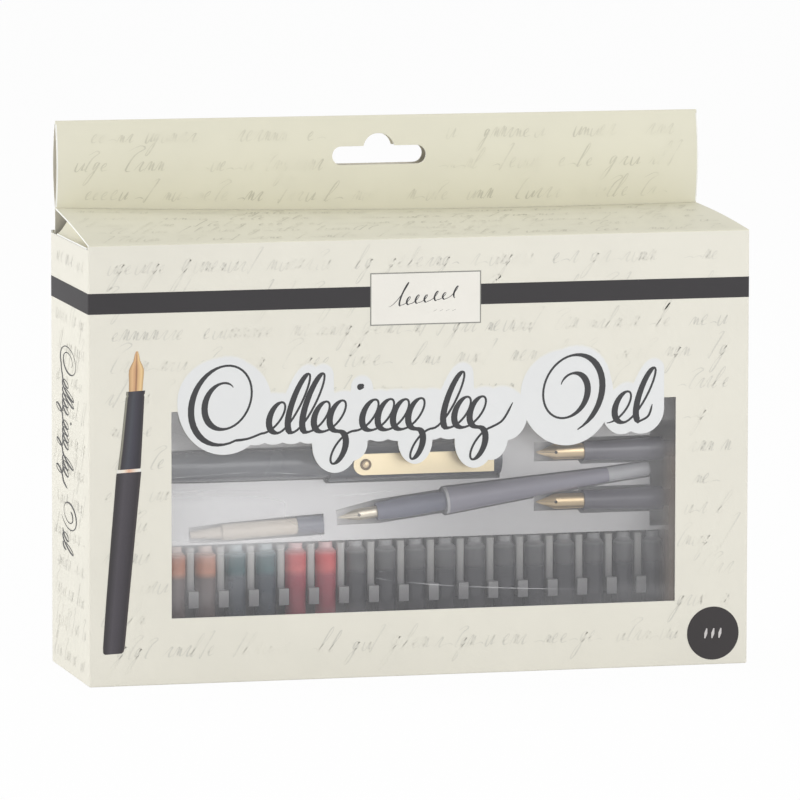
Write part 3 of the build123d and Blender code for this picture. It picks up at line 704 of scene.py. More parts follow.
def makeDustFlap(name, node, side):
    # the flap springs up from its fold and rests close under the lid
    low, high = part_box(node)
    length = high.x - low.x - inset
    fold = high.x - inset if side > 0 else low.x + inset
    columns, rows = dustFlap["columns"], dustFlap["rows"]
    verts = []
    for i in range(columns + 1):
        share = (i / columns) ** 1.5
        x = fold - side * length * share
        front = low.y + dustFlap["frontTaper"] * share
        rear = high.y - dustFlap["rearTaper"] * share
        sprung = min(1.0, length * share / dustFlap["rise"])
        sprung = sprung * sprung * (3 - 2 * sprung)
        for j in range(rows + 1):
            y = front + (rear - front) * j / rows
            verts.append((x, y, high.z + (lidUnderside(x, y) - dustFlap["clear"] - high.z) * sprung))
    faces = gridFaces(columns + 1, rows + 1, flip=side < 0)
    addBoard(name, verts, faces, node + "_body", [node], creamPrintShadedTop, dustFlap["boardShare"], 50)


makeDustFlap("dustFlapLeft", "dust_flap_left", -1)
makeDustFlap("dustFlapRight", "dust_flap_right", 1)


def makeHeaderMargins():
    # white strips in the cut edge's colour down both ends of the header's two layers
    width, short, steps = header["margin"], header["marginShort"], 12
    verts, faces = [], []
    for place, turn in ((onHeaderFront, 1), (onHeaderRear, -1)):
        for edge in (header["left"], header["right"] - width):
            faces += gridFaces(steps + 1, 2, len(verts), flip=turn < 0)
            for k in range(steps + 1):
                v = header["height"] * (short + (1 - 2 * short) * k / steps)
                verts += [place(turn * x, v, lift["script"]) for x in (edge, edge + width)]
    addPiece("headerMargins", verts, faces, [cutEdge], "header")


makeHeaderMargins()
print("lid and header made")


def smoothPath(points, steps):
    # a curve through all points, with the given number of steps from each to the next
    count = len(points)
    path = []
    for i in range(count - 1):
        p0 = points[max(i - 1, 0)]
        p1, p2 = points[i], points[i + 1]
        p3 = points[min(i + 2, count - 1)]
        for k in range(steps):
            t = k / steps
            path.append(tuple(
                0.5 * (2 * p1[a] + (p2[a] - p0[a]) * t
                       + (2 * p0[a] - 5 * p1[a] + 4 * p2[a] - p3[a]) * t * t
                       + (3 * p1[a] - p0[a] - 3 * p2[a] + p3[a]) * t ** 3)
                for a in (0, 1)
            ))
    path.append(tuple(points[-1]))
    return path


def toMetres(path):
    return [(x * mm, z * mm) for x, z in path]


def slantedLoops(start, base, loops, slant, steps, climb=0.0):
    # loops of pitch, height and swing, one after the other along a line
    points, x = [], start
    for pitch, height, swing in loops:
        for k in range(steps):
            t = 2 * math.pi * k / steps
            rise = height / 2 * (1 - math.cos(t))
            u = x + pitch * k / steps + swing * math.sin(t)
            points.append((u + slant * rise, base + climb * x + rise))
        x += pitch
    return points, x


penPoint = {
    "sideways": 0.25,        # how much of a stroke to the right counts as pressing
    "gain": 1.05,
    "power": 1.3,
    "tip": 0.35,             # width of both ends, as a share
}


def ribbon(path, thin, thick, taper):
    # left and right edge points: a pointed pen draws thick on the way down and thin on the way up
    left, right = [], []
    last = len(path) - 1
    for i, (x, z) in enumerate(path):
        ax, az = path[max(i - 1, 0)]
        bx, bz = path[min(i + 1, last)]
        length = math.hypot(bx - ax, bz - az) or 1e-9
        dx, dz = (bx - ax) / length, (bz - az) / length
        down = max(0.0, penPoint["sideways"] * dx - dz)
        width = thin + (thick - thin) * min(1.0, down * penPoint["gain"]) ** penPoint["power"]
        width *= min(1.0, penPoint["tip"] + (1 - penPoint["tip"]) * min(i, last - i) / max(1, taper))
        left.append((x - dz * width / 2, z + dx * width / 2))
        right.append((x + dz * width / 2, z - dx * width / 2))
    return left, right


def addRibbons(name, paths, thin, thick, place, up, material, body="carton", taper=3, climb=0.0):
    # climb lifts a path from its start to its end, so that it lies over itself where it crosses
    verts, faces = [], []
    for path in paths:
        faces += gridFaces(len(path), 2, len(verts))
        for k, edges in enumerate(zip(*ribbon(path, thin, thick, taper))):
            verts += [place(x, z, up + climb * k / len(path)) for x, z in edges]
    addPiece(name, verts, faces, [material], body, smooth=False)


# the title, meaningless flourishes of ovals and slanted loops, in millimetres
title = {
    "base": 84.2,
    "slant": 0.42,
    "margin": 3.2,
    "soft": 1.0,             # the white fades into the board over this width
    "thin": 0.75,
    "thick": 2.2,
    "upper": 0.82,           # how far a lobe reaches above its centre, as a share of its half height
    "between": 86.0,         # lower edge of the white where there is no lobe
    "columns": 420,
    # ovals: centre x and z, half width, half height, first angle, turns (clockwise below 0), first size
    "firstOval": (-68.2, 95.4, 12.6, 15.0, 60, 1.66, 0.36),
    "secondOval": (51.6, 95.6, 12.4, 14.6, 150, -1.6, 0.3),
    "dot": (-20.8, 99.2, 0.55, 0.55, 0, 1.0, 0.9),
    "ovalLean": 0.16,
    "ovalOpen": 0.85,        # below 1, the turns lie closer together towards the outside
    "link": (-60.2, 82.6),   # on the way from the first oval to the coil
    # pitch, height and half width of each loop of the coil; a negative height hangs below the line
    "coilStart": -55.6,
    "coil": [(5.6, 10.4, 3.5), (5.0, 19.8, 2.9), (5.0, 19.8, 2.9), (5.4, 10.2, 3.4), (5.6, 10.4, 3.5),
             (5.8, -11.0, 3.3), (5.4, 10.4, 3.5), (5.4, 10.4, 3.5), (5.2, 10.2, 3.4), (5.4, 10.4, 3.5),
             (5.6, -10.2, 2.8), (5.2, 19.0, 2.9), (5.2, 10.4, 3.5), (5.4, 10.4, 3.5), (5.8, -11.0, 3.3)],
    "coilExit": [(3.0, 2.2), (6.4, 8.0)],
    "tailStart": 64.8,
    "tail": [(5.8, 10.6, 3.6), (6.2, 18.5, 3.0)],
    "tailExit": [(2.6, 2.0), (4.0, 6.0)],
}


def ovalSpiral(cx, cz, halfWide, halfHigh, begin, turns, core):
    # an oval drawn round and round from its middle outward, leaning like the loops
    points = []
    steps = int(abs(turns) * 40)
    for k in range(steps + 1):
        share = k / steps
        angle = math.radians(begin) + 2 * math.pi * turns * share
        reach = core + (1 - core) * share ** title["ovalOpen"]
        z = halfHigh * reach * math.sin(angle)
        points.append((cx + halfWide * reach * math.cos(angle) + title["ovalLean"] * z, cz + z))
    return points


def coilPath(start, loops, leave):
    # slanted loops, and the stroke that leaves the last one
    points, x = slantedLoops(start, title["base"], loops, title["slant"], 30)
    return points + smoothPath([points[-1]] + [(x + a, title["base"] + b) for a, b in leave], 6)[1:]


def titlePaths():
    first = ovalSpiral(*title["firstOval"])
    coil = coilPath(title["coilStart"], title["coil"], title["coilExit"])
    link = smoothPath([first[-1], title["link"], coil[0]], 6)
    tail = coilPath(title["tailStart"], title["tail"], title["tailExit"])
    return [first + link[1:] + coil[1:], ovalSpiral(*title["secondOval"]), tail, ovalSpiral(*title["dot"])]


titleStrokes = titlePaths()


def marginTop(x):
    # the highest point of the margin round the strokes at this x
    margin = title["margin"]
    tops = [0.0]
    for path in titleStrokes:
        tops += [pz + math.sqrt(margin ** 2 - (px - x) ** 2) for px, pz in path if abs(px - x) < margin]
    return max(tops)


def makeTitle():
    stations = lobeStations()
    for k in range(1, title["columns"]):
        stations.add(lobesLeft + (lobesRight - lobesLeft) * k / title["columns"])
    kept = [x for x in sorted(stations) if lobesLeft + 1e-3 < x < lobesRight - 1e-3]
    verts = []
    for x in kept:
        low = min(lobeEdge(x, -1), default=title["between"])
        high = max([marginTop(x)] + lobeEdge(x, title["upper"]))
        for z in (low, high - title["soft"] / 2, high + title["soft"] / 2):
            verts.append(onFront(x * mm, z * mm, lift["print"]))
    faces = gridFaces(len(kept), 3, flip=True)
    ground = addPiece("titleGround", verts, faces, [titleWhite], "carton", smooth=False)
    addAcross(ground, [0.0, 0.0, 1.0] * len(kept))
    scaled = [toMetres(path) for path in titleStrokes]
    thin, thick = title["thin"] * mm, title["thick"] * mm
    addRibbons("titleStrokes", scaled, thin, thick, onFront, lift["title"], titleInk, climb=lift["climb"])


makeTitle()

sideTitle = {
    "top": 111.0 * mm,
    "middle": -4.3 * mm,
    "startX": -79.0,         # what lies here in the title, in millimetres, comes to the top
    "centreZ": 92.0,         # and what lies at this height comes to the middle
    "alongScale": 0.433,
    "acrossScale": 0.92,
    "thin": 0.35 * mm,
    "thick": 1.5 * mm,
}


def makeSideTitle():
    # the same flourish runs down the left wall, turned by a quarter
    turned = []
    for path in titleStrokes:
        turned.append([
            (sideTitle["middle"] + (z - sideTitle["centreZ"]) * mm * sideTitle["acrossScale"],
             sideTitle["top"] - (x - sideTitle["startX"]) * mm * sideTitle["alongScale"])
            for x, z in path
        ])
    addRibbons("sideStrokes", turned, sideTitle["thin"], sideTitle["thick"], onLeft, lift["title"], titleInk,
               climb=lift["climb"])


makeSideTitle()
print("title made")

stripe = {"low": 125.9 * mm, "high": 132.9 * mm}


def makeStripe():
    plan = sleeveProfile(-lift["print"], -1)[::-1] + sleeveProfile(-lift["print"], 1)
    verts = [(x, y, z) for z in (stripe["low"], stripe["high"]) for x, y in plan]
    piece = addPiece("stripe", verts, gridFaces(2, len(plan), closed=True), [stripeInk], "carton")
    piece.data.set_sharp_from_angle(angle=math.radians(30))


def addFlat(name, material, up, outer, holes=()):
    flat, faces = fillOutline(outer, holes)
    addPiece(name, [onFront(v.x, v.y, up) for v in flat], faces, [material], "carton", smooth=False)


plate = {
    "left": -17.9 * mm,
    "right": 20.6 * mm,
    "low": 119.6 * mm,
    "high": 137.4 * mm,
    "line": 0.38 * mm,
    # a short wave of loops, in millimetres: pitch, height and swing, along a line that climbs a little
    "loops": [(4.2, 8.2, 1.0), (3.0, 2.8, 1.0), (3.0, 3.0, 1.0), (3.2, 2.6, 1.0), (3.4, 3.4, 1.0),
              (3.0, 2.4, 1.0), (3.6, 4.2, 1.0)],
    "loopStart": -11.5,
    "loopBase": 127.2,
    "loopClimb": 0.12,
    "loopSlant": 0.6,
    # dashes under it: how many, pitch, first start, step along and up
    "dashes": 4,
    "dashPitch": 2.2,
    "dashStart": (4.0, 124.0),
    "dash": (1.2, 0.5),
    "thin": 0.2 * mm,
    "thick": 0.6 * mm,
}


def makePlate():
    left, right, low, high, line = (plate[key] for key in ("left", "right", "low", "high", "line"))
    inner = rectangle(left + line, right - line, low + line, high - line)
    addFlat("plateFrame", plateLine, lift["ink"], rectangle(left, right, low, high), [inner])
    addFlat("plateGround", plateInk, lift["ink"], inner)


def makePlateStrokes():
    wave, _ = slantedLoops(plate["loopStart"], plate["loopBase"], plate["loops"], plate["loopSlant"], 24,
                           plate["loopClimb"])
    strokes = [wave]
    for k in range(plate["dashes"]):
        x, z = plate["dashStart"][0] + plate["dashPitch"] * k, plate["dashStart"][1]
        strokes.append([(x, z), (x + plate["dash"][0], z + plate["dash"][1])])
    addRibbons("plateStrokes", [toMetres(path) for path in strokes], plate["thin"], plate["thick"], onFront,
               lift["mark"], titleInk)


badge = {
    "x": 102.7 * mm,
    "z": 10.8 * mm,
    "radius": 9.15 * mm,
    "barPitch": 2.5 * mm,
    "barLean": 0.35 * mm,
    "barHalf": 1.7 * mm,
    "barThin": 0.9 * mm,
    "barThick": 1.1 * mm,
}


def makeBadge():
    # a dark disc with three plain slanted bars on it
    middleX, middleZ = badge["x"], badge["z"]
    addFlat("badge", badgeInk, lift["print"], arc(middleX, middleZ, badge["radius"], 0, 360, 72)[:-1])
    bars = []
    for k in (-1, 0, 1):
        x = middleX + k * badge["barPitch"]
        bars.append([(x + end * badge["barLean"], middleZ + end * badge["barHalf"]) for end in (1, 0, -1)])
    thin, thick = badge["barThin"], badge["barThick"]
    addRibbons("badgeMarks", bars, thin, thick, onFront, lift["ink"], badgeMark, taper=0)


makeStripe()
makePlate()
makeBadge()
makePlateStrokes()

printedPen = {
    "lean": 0.045,           # each row is square to the pen's leaning axis
    "layer": 0.005 * mm,     # each part lies this far above the one before
    "rowStep": 1.5,
    "columns": 8,
    # centre x and z and half width down each part, in millimetres, its colours across and its patchiness
    "parts": {
        "nib": {
            "rows": [(-98.25, 113.2, 0.35), (-98.3, 112.0, 0.75), (-98.35, 110.0, 1.15), (-98.4, 108.4, 2.0),
                     (-98.45, 107.0, 2.55), (-98.5, 105.6, 2.6), (-98.6, 102.5, 2.4), (-98.75, 99.4, 2.3)],
            "ramp": [(0.0, (186, 150, 110)), (0.22, (226, 186, 140)), (0.42, (206, 160, 122)),
                     (0.52, (150, 112, 84)), (0.6, (214, 172, 128)), (0.85, (236, 204, 150)),
                     (1.0, (190, 152, 108))],
            "shift": 0.06,
        },
        "section": {
            "rows": [(-98.75, 99.8, 3.2), (-98.8, 98.7, 3.2), (-98.85, 98.4, 2.95), (-98.95, 97.6, 3.2),
                     (-99.4, 92.0, 3.35), (-100.3, 81.0, 3.65), (-100.95, 74.2, 3.9), (-101.05, 73.4, 3.85)],
            "ramp": [(0.0, (120, 118, 108)), (0.07, (150, 148, 134)), (0.13, (58, 54, 58)),
                     (0.4, (74, 76, 84)), (0.62, (64, 62, 72)), (0.86, (50, 48, 54)), (1.0, (66, 60, 62))],
            "shift": 0.08,
        },
        "ring": {
            "rows": [(-101.05, 73.5, 4.1), (-101.1, 72.3, 4.1)],
            "ramp": [(0.0, (232, 232, 226)), (0.3, (240, 226, 210)), (0.5, (226, 178, 150)),
                     (0.8, (238, 226, 212)), (1.0, (236, 236, 232))],
            "shift": 0.03,
        },
        "barrel": {
            "rows": [(-101.1, 72.4, 4.2), (-101.2, 71.6, 4.25), (-103.2, 50.0, 4.1), (-105.0, 30.0, 3.95),
                     (-106.4, 13.4, 3.75), (-106.55, 11.7, 3.5), (-106.6, 11.1, 2.9)],
            "ramp": [(0.0, (64, 60, 60)), (0.1, (56, 53, 56)), (0.35, (78, 74, 80)), (0.6, (70, 66, 72)),
                     (0.88, (54, 50, 54)), (1.0, (72, 66, 66))],
            "shift": 0.08,
        },
    },
}


def makePrintedPen():
    columns = printedPen["columns"]
    for layer, (name, part) in enumerate(printedPen["parts"].items()):
        rows = []
        for here, after in zip(part["rows"], part["rows"][1:]):
            steps = max(1, int(abs(after[1] - here[1]) / printedPen["rowStep"]))
            for k in range(steps):
                rows.append([a + (b - a) * k / steps for a, b in zip(here, after)])
        rows.append(part["rows"][-1])
        verts = []
        up = lift["print"] + layer * printedPen["layer"]
        for x, z, half in rows:
            for c in range(columns + 1):
                off = (2 * c / columns - 1) * half
                verts.append(onFront((x + off) * mm, (z + printedPen["lean"] * off) * mm, up))
        label = "printed" + name.capitalize()
        material = boardMaterial(label, white, part["shift"], 0.4, acrossRamp(part["ramp"]))
        faces = gridFaces(len(rows), columns + 1, flip=True)
        piece = addPiece(label, verts, faces, [material], "carton", smooth=False)
        addAcross(piece, [c / columns for c in range(columns + 1)] * len(rows))


makePrintedPen()
print("prints made")

# faint writing without words over every face
writing = {
    "row": 10.5 * mm,
    "low": 3.4 * mm,         # height of the small strokes
    "tall": 7.4 * mm,
    "slant": 0.5,
    "thin": 0.2 * mm,
    "thick": 0.62 * mm,
    "faceHigh": 147.0 * mm,  # of the upright faces
    "lidDeep": 55.0 * mm,
    "headerWide": 222.0 * mm,
    "firstRow": 0.75,        # of a row, below the top of each face
    "lastRow": 3.5 * mm,
    "indent": (2, 9),        # of each row, in millimetres
    "wordRoom": 9.0 * mm,    # at the end of a row, without which no word or stroke begins
    "strokeRoom": 8.0 * mm,
    "strokes": (3, 8),       # in a word
    "wide": (2.8, 4.0),      # of a stroke, in millimetres, and between words
    "gap": (2.5, 6.5),
    "grandShare": 0.45,      # of words that begin with a grand stroke, and its scale
    "grandScale": 1.5,
    "longShare": 0.22,
    # where it stops: above the bottom and beside the hang slot, under the folds, under the other walls' tops,
    # round the window in millimetres, and the bands on the header and the lid
    "clear": 1.2 * mm,
    "underFold": 1.0 * mm,
    "underEdge": 1.5 * mm,
    "windowClear": 0.8,
    "slotBand": (11.0 * mm, 28.0 * mm),
    "headerEnd": 110.5 * mm,
    "lidBand": (0.8 * mm, 54.3 * mm),
    "seed": 11,
}
# strokes in a unit box, never a letter: across, up
hooks = [
    [(0, 0.1), (0.3, 0.9), (0.5, 1.0), (0.45, 0.4), (0.6, 0.0), (0.9, 0.3)],
    [(0, 0.3), (0.35, 0.6), (0.3, 1.0), (0.05, 0.6), (0.25, 0.05), (0.7, 0.2)],
    [(0, 0.0), (0.12, 0.8), (0.3, 0.95), (0.4, 0.1), (0.55, 0.9), (0.7, 0.1), (1.0, 0.25)],
    [(0.1, 0.9), (0.2, 0.1), (0.5, 0.0), (0.75, 0.9), (0.8, 0.1), (1.1, 0.3)],
    [(0, 0.2), (0.5, 0.35), (0.9, 0.2)],
]
longHooks = [
    [(0, 0.0), (0.5, 0.7), (0.45, 1.0), (0.25, 0.8), (0.15, 0.0), (0.5, 0.1)],
    [(0.35, 0.45), (0.1, 0.35), (0.2, 0.05), (0.45, 0.4), (0.3, -0.5), (0.0, -0.65), (0.1, -0.2),
     (0.6, 0.2)],
    [(0.1, 0.9), (0.45, 1.0), (0.3, 0.4), (0.2, -0.1), (0.0, 0.1)],
    [(-0.1, 0.75), (0.5, 0.95), (0.9, 0.85), (0.45, 0.6), (0.35, 0.05), (0.7, 0.0)],
]


def writingRows(width, height, rng, blocked):
    paths = []
    v = height - writing["row"] * writing["firstRow"]
    while v > writing["lastRow"]:
        u = -width / 2 + rng.uniform(*writing["indent"]) * mm
        while u < width / 2 - writing["wordRoom"]:
            strokes = rng.randint(*writing["strokes"])
            for k in range(strokes):
                if u > width / 2 - writing["strokeRoom"]:
                    break
                grand = k == 0 and rng.random() < writing["grandShare"]
                long = grand or rng.random() < writing["longShare"]
                shape = rng.choice(longHooks if long else hooks)
                if long:
                    high = writing["tall"] * rng.uniform(0.95, writing["grandScale"] if grand else 1.15)
                else:
                    high = writing["low"] * rng.uniform(0.85, 1.2)
                wide = rng.uniform(*writing["wide"]) * mm
                if grand:
                    wide *= writing["grandScale"]
                path = []
                for a, b in smoothPath(shape, 3):
                    rise = b * high
                    shake = rng.uniform(-0.02, 0.02) * mm
                    path.append((u + a * wide + writing["slant"] * rise, v + rise + shake))
                if not any(blocked(x, z) for x, z in path):
                    paths.append(path)
                u += wide * rng.uniform(0.8, 1.0)
            u += rng.uniform(*writing["gap"]) * mm
        v -= writing["row"] * rng.uniform(0.92, 1.08)
    return paths


def overWindow(x, z):
    margin = writing["windowClear"]
    wide = window["left"] - margin < x / mm < window["right"] + margin
    high = window["bottom"] - margin < z / mm < window["top"] + margin
    return (wide and high) or z < writing["clear"] or z > wallTop - writing["underFold"]


def overEnds(x, z):
    return z < writing["clear"] or z > sideHigh.z - writing["underEdge"]


def overSlot(x, z):
    half, fold = header["slotLength"] / 2 + writing["clear"], writing["underFold"]
    low, high = writing["slotBand"]
    inSlot = abs(abs(x) - abs(header["slotX"])) < half and low < z < high
    return inSlot or z < fold or z > header["height"] - fold or abs(x) > writing["headerEnd"]


def overFolds(x, z):
    low, high = writing["lidBand"]
    return z < low or z > high


def makeWriting():
    rng = random.Random(writing["seed"])
    wide, high, headerWide = 2 * flatHalf, writing["faceHigh"], writing["headerWide"]
    deep = carton["back"] - carton["front"] - 2 * carton["corner"]
    faces = [
        ("frontWriting", wide, high, overWindow, onFront, scriptInk, "carton"),
        ("backWriting", wide, high, overEnds, onBack, scriptInk, "carton"),
        ("leftWriting", deep, high, overEnds, onLeft, scriptInk, "carton"),
        ("rightWriting", deep, high, overEnds, onRight, scriptInk, "carton"),
        ("lidWriting", wide, writing["lidDeep"], overFolds, onLid, scriptInkShadedTop, "lid"),
        ("headerWriting", headerWide, header["height"], overSlot, onHeaderFront, scriptInkShadedTop, "header"),
        ("headerRearWriting", headerWide, header["height"], overSlot, onHeaderRear, scriptInkShadedTop, "header"),
    ]
    thin, thick = writing["thin"], writing["thick"]
    for name, width, height, blocked, place, material, body in faces:
        paths = writingRows(width, height, rng, blocked)
        addRibbons(name, paths, thin, thick, place, lift["script"], material, body, taper=2)


makeWriting()
print("writing made")

film = {
    "wave": 0.05 * mm,
    "columns": 96,
    "rows": 48,
    "seed": 5,
    "clear": (246, 246, 248),
    "shadeLeft": (96, 96, 100),
    "shadeRight": (106, 97, 90),
    "haze": 0.09,            # painted reflection: share of light that the clear sheet throws back everywhere
    "leftHaze": 0.1,         # more of it towards the left, most of all between pen and cartridges
    "platformHaze": 0.2,
    "streak": 0.1,           # painted reflection in long faint streaks, with their lean in degrees and how fine they are each way
    "streakLean": -6.0,
    "streakScale": (9.0, 1.0, 46.0),
    "middleShade": 0.24,     # painted darker reflections and painted shade past the middle, along the bottom and down the right edge
    "lowShade": 0.2,
    "rightShade": 0.72,
    # where each reflection starts and where it is full, in millimetres across the window or up it
    "leftAcross": (40.0, -50.0),
    "leftUp": (40.0, 48.0),
    "platformAcross": (-20.0, -75.0),
    "platformDown": (67.0, 60.0),
    "middleAcross": (-35.0, 20.0),
    "middleDown": (82.0, 66.0),
    "lowDown": (38.0, 28.0),
    "rightAcross": (81.5, 88.5),
    "rightDown": (86.0, 70.0),
    "creaseWidth": 0.34 * mm,
    "creaseSeat": -0.03 * mm,
    "creaseHighlightShare": 0.34,
    # painted highlights along soft creases in the film, in millimetres: x, z
    "creaseHighlights": [
        [(-17.0, 33.8), (-7.3, 32.4), (6.7, 30.6), (31.9, 28.7), (55.8, 27.5)],
        [(-86.6, 65.3), (-71.0, 65.2), (-55.0, 64.7)],
        [(-86.6, 48.6), (-66.0, 48.1), (-42.0, 48.1), (-26.4, 48.0)],
        [(-29.8, 62.1), (-14.5, 63.0), (0.3, 64.6)],
        [(-86.4, 85.7), (-75.0, 81.9), (-61.3, 78.6)],
        [(-86.5, 70.0), (-59.5, 71.0), (-31.7, 69.3)],
    ],
}


# the film's colour and how much of it shows are painted by place: pale painted reflections, with darker painted
# reflections and painted shade over them
def filmMaterial():
    material, tree, shader = newMaterial("clearFilm")
    x, _, z = placeAxes(tree)

    def zone(axis, name):
        start, end = film[name]
        return rampValue(tree, axis, start * mm, end * mm)

    lean = (0, math.radians(film["streakLean"]), 0)
    values = {"Vector": objectPlace(tree), "Rotation": lean, "Scale": film["streakScale"]}
    stretched = addNode(tree, "ShaderNodeMapping", values).outputs["Vector"]
    values = {"Vector": stretched, "Scale": 1.0, "Detail": 3.0, "Roughness": 0.55}
    streak = addNode(tree, "ShaderNodeTexNoise", values).outputs["Fac"]
    overRow = zone(z, "leftUp")
    right = product(tree, zone(x, "rightAcross"), zone(z, "rightDown"))
    pale = film["haze"]
    for layer in (
        product(tree, rampValue(tree, streak, 0.45, 0.7), film["streak"]),
        product(tree, zone(x, "leftAcross"), overRow, film["leftHaze"]),
        product(tree, zone(x, "platformAcross"), overRow, zone(z, "platformDown"), film["platformHaze"]),
    ):
        pale = calculate(tree, "ADD", layer, pale)
    shade = product(tree, right, film["rightShade"])
    for layer in (
        product(tree, zone(z, "lowDown"), film["lowShade"]),
        product(tree, zone(x, "middleAcross"), zone(z, "middleDown"), film["middleShade"]),
    ):
        shade = calculate(tree, "MAXIMUM", shade, layer)
    # the painted dark reflections and shade lie over the painted pale reflections
    kept = product(tree, calculate(tree, "SUBTRACT", 1.0, shade), pale)
    total = calculate(tree, "ADD", kept, shade)
    dark = mixColors(tree, srgb(*film["shadeLeft"]), srgb(*film["shadeRight"]), right)
    color = mixColors(tree, srgb(*film["clear"]), dark, calculate(tree, "DIVIDE", shade, total))
    values = {"Base Color": color, "Alpha": total, "Roughness": 0.12, "Specular IOR Level": 1.0}
    fillSockets(tree, shader, values)
    return material


# the pale lines along the film's creases are a painted highlight
def creaseHighlightMaterial():
    material, tree, shader = newMaterial("paintedCreaseHighlight")
    patch = rampValue(tree, noise(tree, {"Scale": 90.0, "Detail": 2.0}), 0.3, 0.7)
    share = product(tree, patch, film["creaseHighlightShare"])
    fillSockets(tree, shader, {"Base Color": srgb(250, 250, 252), "Roughness": 0.2, "Alpha": share})
    return material


def makeFilm():
    columns, rows = film["columns"], film["rows"]
    rng = random.Random(film["seed"])
    waves = [(rng.uniform(20, 90), rng.uniform(20, 120), rng.uniform(0, 6.28)) for _ in range(6)]
    verts = []
    middle = (filmLow.y + filmHigh.y) / 2
    for j in range(rows + 1):
        z = filmLow.z + (filmHigh.z - filmLow.z) * j / rows
        for i in range(columns + 1):
            x = filmLow.x + (filmHigh.x - filmLow.x) * i / columns
            wave = sum(math.sin(a * x + b * z + c) for a, b, c in waves) / len(waves)
            verts.append((x, middle + film["wave"] * wave, z))
    addPiece("filmSheet", verts, gridFaces(rows + 1, columns + 1), [filmMaterial()], "carton",
             replaced=["window_film"])


def onFilm(u, v, up):
    return (u, filmLow.y - up, v)


# ribbons that carry the painted crease highlights
def makeCreaseHighlights():
    paths = [smoothPath(toMetres(crease), 8) for crease in film["creaseHighlights"]]
    width = film["creaseWidth"]
    addRibbons("paintedCreaseHighlights", paths, width, width, onFilm, film["creaseSeat"], creaseHighlightMaterial(), taper=8)


makeFilm()
makeCreaseHighlights()
print("film made")


def rowShadeGroup():
    # formed plastic lies in shade towards the bottom of the cartridge row, most of all deep in the tray
    group, given, result = newGroup(
        "rowShade", {"Pale": "Color", "Shaded": "Color", "Top": "Float", "Bottom": "Float", "Depth": "Float"},
        {"Color": "Color"},
    )
    _, y, z = placeAxes(group)
    low = rampValue(group, z, given["Top"], given["Bottom"])
    deep = calculate(group, "SUBTRACT", rampValue(group, y, -17.5 * mm, -11.0 * mm), 1.0)
    share = product(group, low, calculate(group, "MULTIPLY_ADD", deep, given["Depth"], 1.0))
    fillSockets(group, result, {"Color": mixColors(group, given["Pale"], given["Shaded"], share)})
    return group


def inkLevelGroup():
    # a cartridge is pale at the neck, tinted where it is empty and dark over the ink, and painted shade makes it
    # darker still towards its bottom
    group, given, result = newGroup(
        "inkLevel", {label: "Color" for label in ("Bottom", "Ink", "Empty", "Neck")}, {"Color": "Color"},
    )
    z = placeAxes(group)[2]
    # the Bottom colour, which gives way to the ink's between 6 and 17.7 mm up, is painted shade
    color = given["Bottom"]
    for label, start, end in (("Ink", 6.0, 17.7), ("Empty", 33.3, 35.64), ("Neck", 40.32, 43.05)):
        color = mixColors(group, color, given[label], rampValue(group, z, start * mm, end * mm, "LINEAR"))
    fillSockets(group, result, {"Color": color})
    return group


rowShade = rowShadeGroup()
inkLevel = inkLevelGroup()


def tintedShell(name, bottom, ink, empty, neck):
    stops = {"Bottom": srgb(*bottom), "Ink": srgb(*ink), "Empty": srgb(*empty), "Neck": srgb(*neck)}
    return plasticMaterial(name, empty, 0.14, 0.22, scale=260.0, coat=0.3, alpha=0.82, bump=0.0,
                           colorSource=fromGroup(inkLevel, stops))


trayLook = {"Pale": srgb(224, 223, 224), "Shaded": srgb(112, 111, 114), "Top": 47.0 * mm, "Bottom": 20.0 * mm,
            "Depth": 0.15}
# by the frame's material slots: colour, roughness and patchiness come first
looks = {
    "tray_white": plasticMaterial("trayPlastic", (222, 222, 224), 0.38, 0.05, scale=25.0,
                                  colorSource=fromGroup(rowShade, trayLook)),
    "pen_black": plasticMaterial("penLacquer", (46, 51, 62), 0.2, 0.15, coat=0.25, bump=0.0),
    "section_black": plasticMaterial("gripPlastic", (110, 108, 118), 0.3, 0.15, coat=0.3),
    "feed_black": plasticMaterial("feedPlastic", (62, 54, 56), 0.4, 0.2),
    "gold_metal": plasticMaterial("goldPlate", (226, 202, 164), 0.28, 0.08, scale=120.0, metal=1.0),
    "holder_grey": plasticMaterial("holderPaint", (162, 160, 173), 0.3, 0.06),
    "holder_dark": plasticMaterial("holderGrip", (126, 128, 145), 0.35, 0.08),
    "holder_light": plasticMaterial("holderCap", (204, 204, 208), 0.3, 0.06),
    "converter_clear": plasticMaterial("converterBody", (232, 220, 204), 0.2, 0.06, alpha=0.9),
    "converter_dark": plasticMaterial("converterEnds", (118, 120, 134), 0.3, 0.1),
    "ink_orange": plasticMaterial("inkOrange", (150, 100, 76), 0.25, 0.2, scale=140.0),
    "ink_teal": plasticMaterial("inkTeal", (40, 76, 84), 0.25, 0.2, scale=140.0),
    "ink_red": plasticMaterial("inkRed", (176, 50, 62), 0.25, 0.2, scale=140.0),
    "ink_black": plasticMaterial("inkBlack", (48, 48, 54), 0.25, 0.2, scale=140.0),
    "seal_white": plasticMaterial("cartridgePlug", (216, 214, 214), 0.4, 0.05),
}
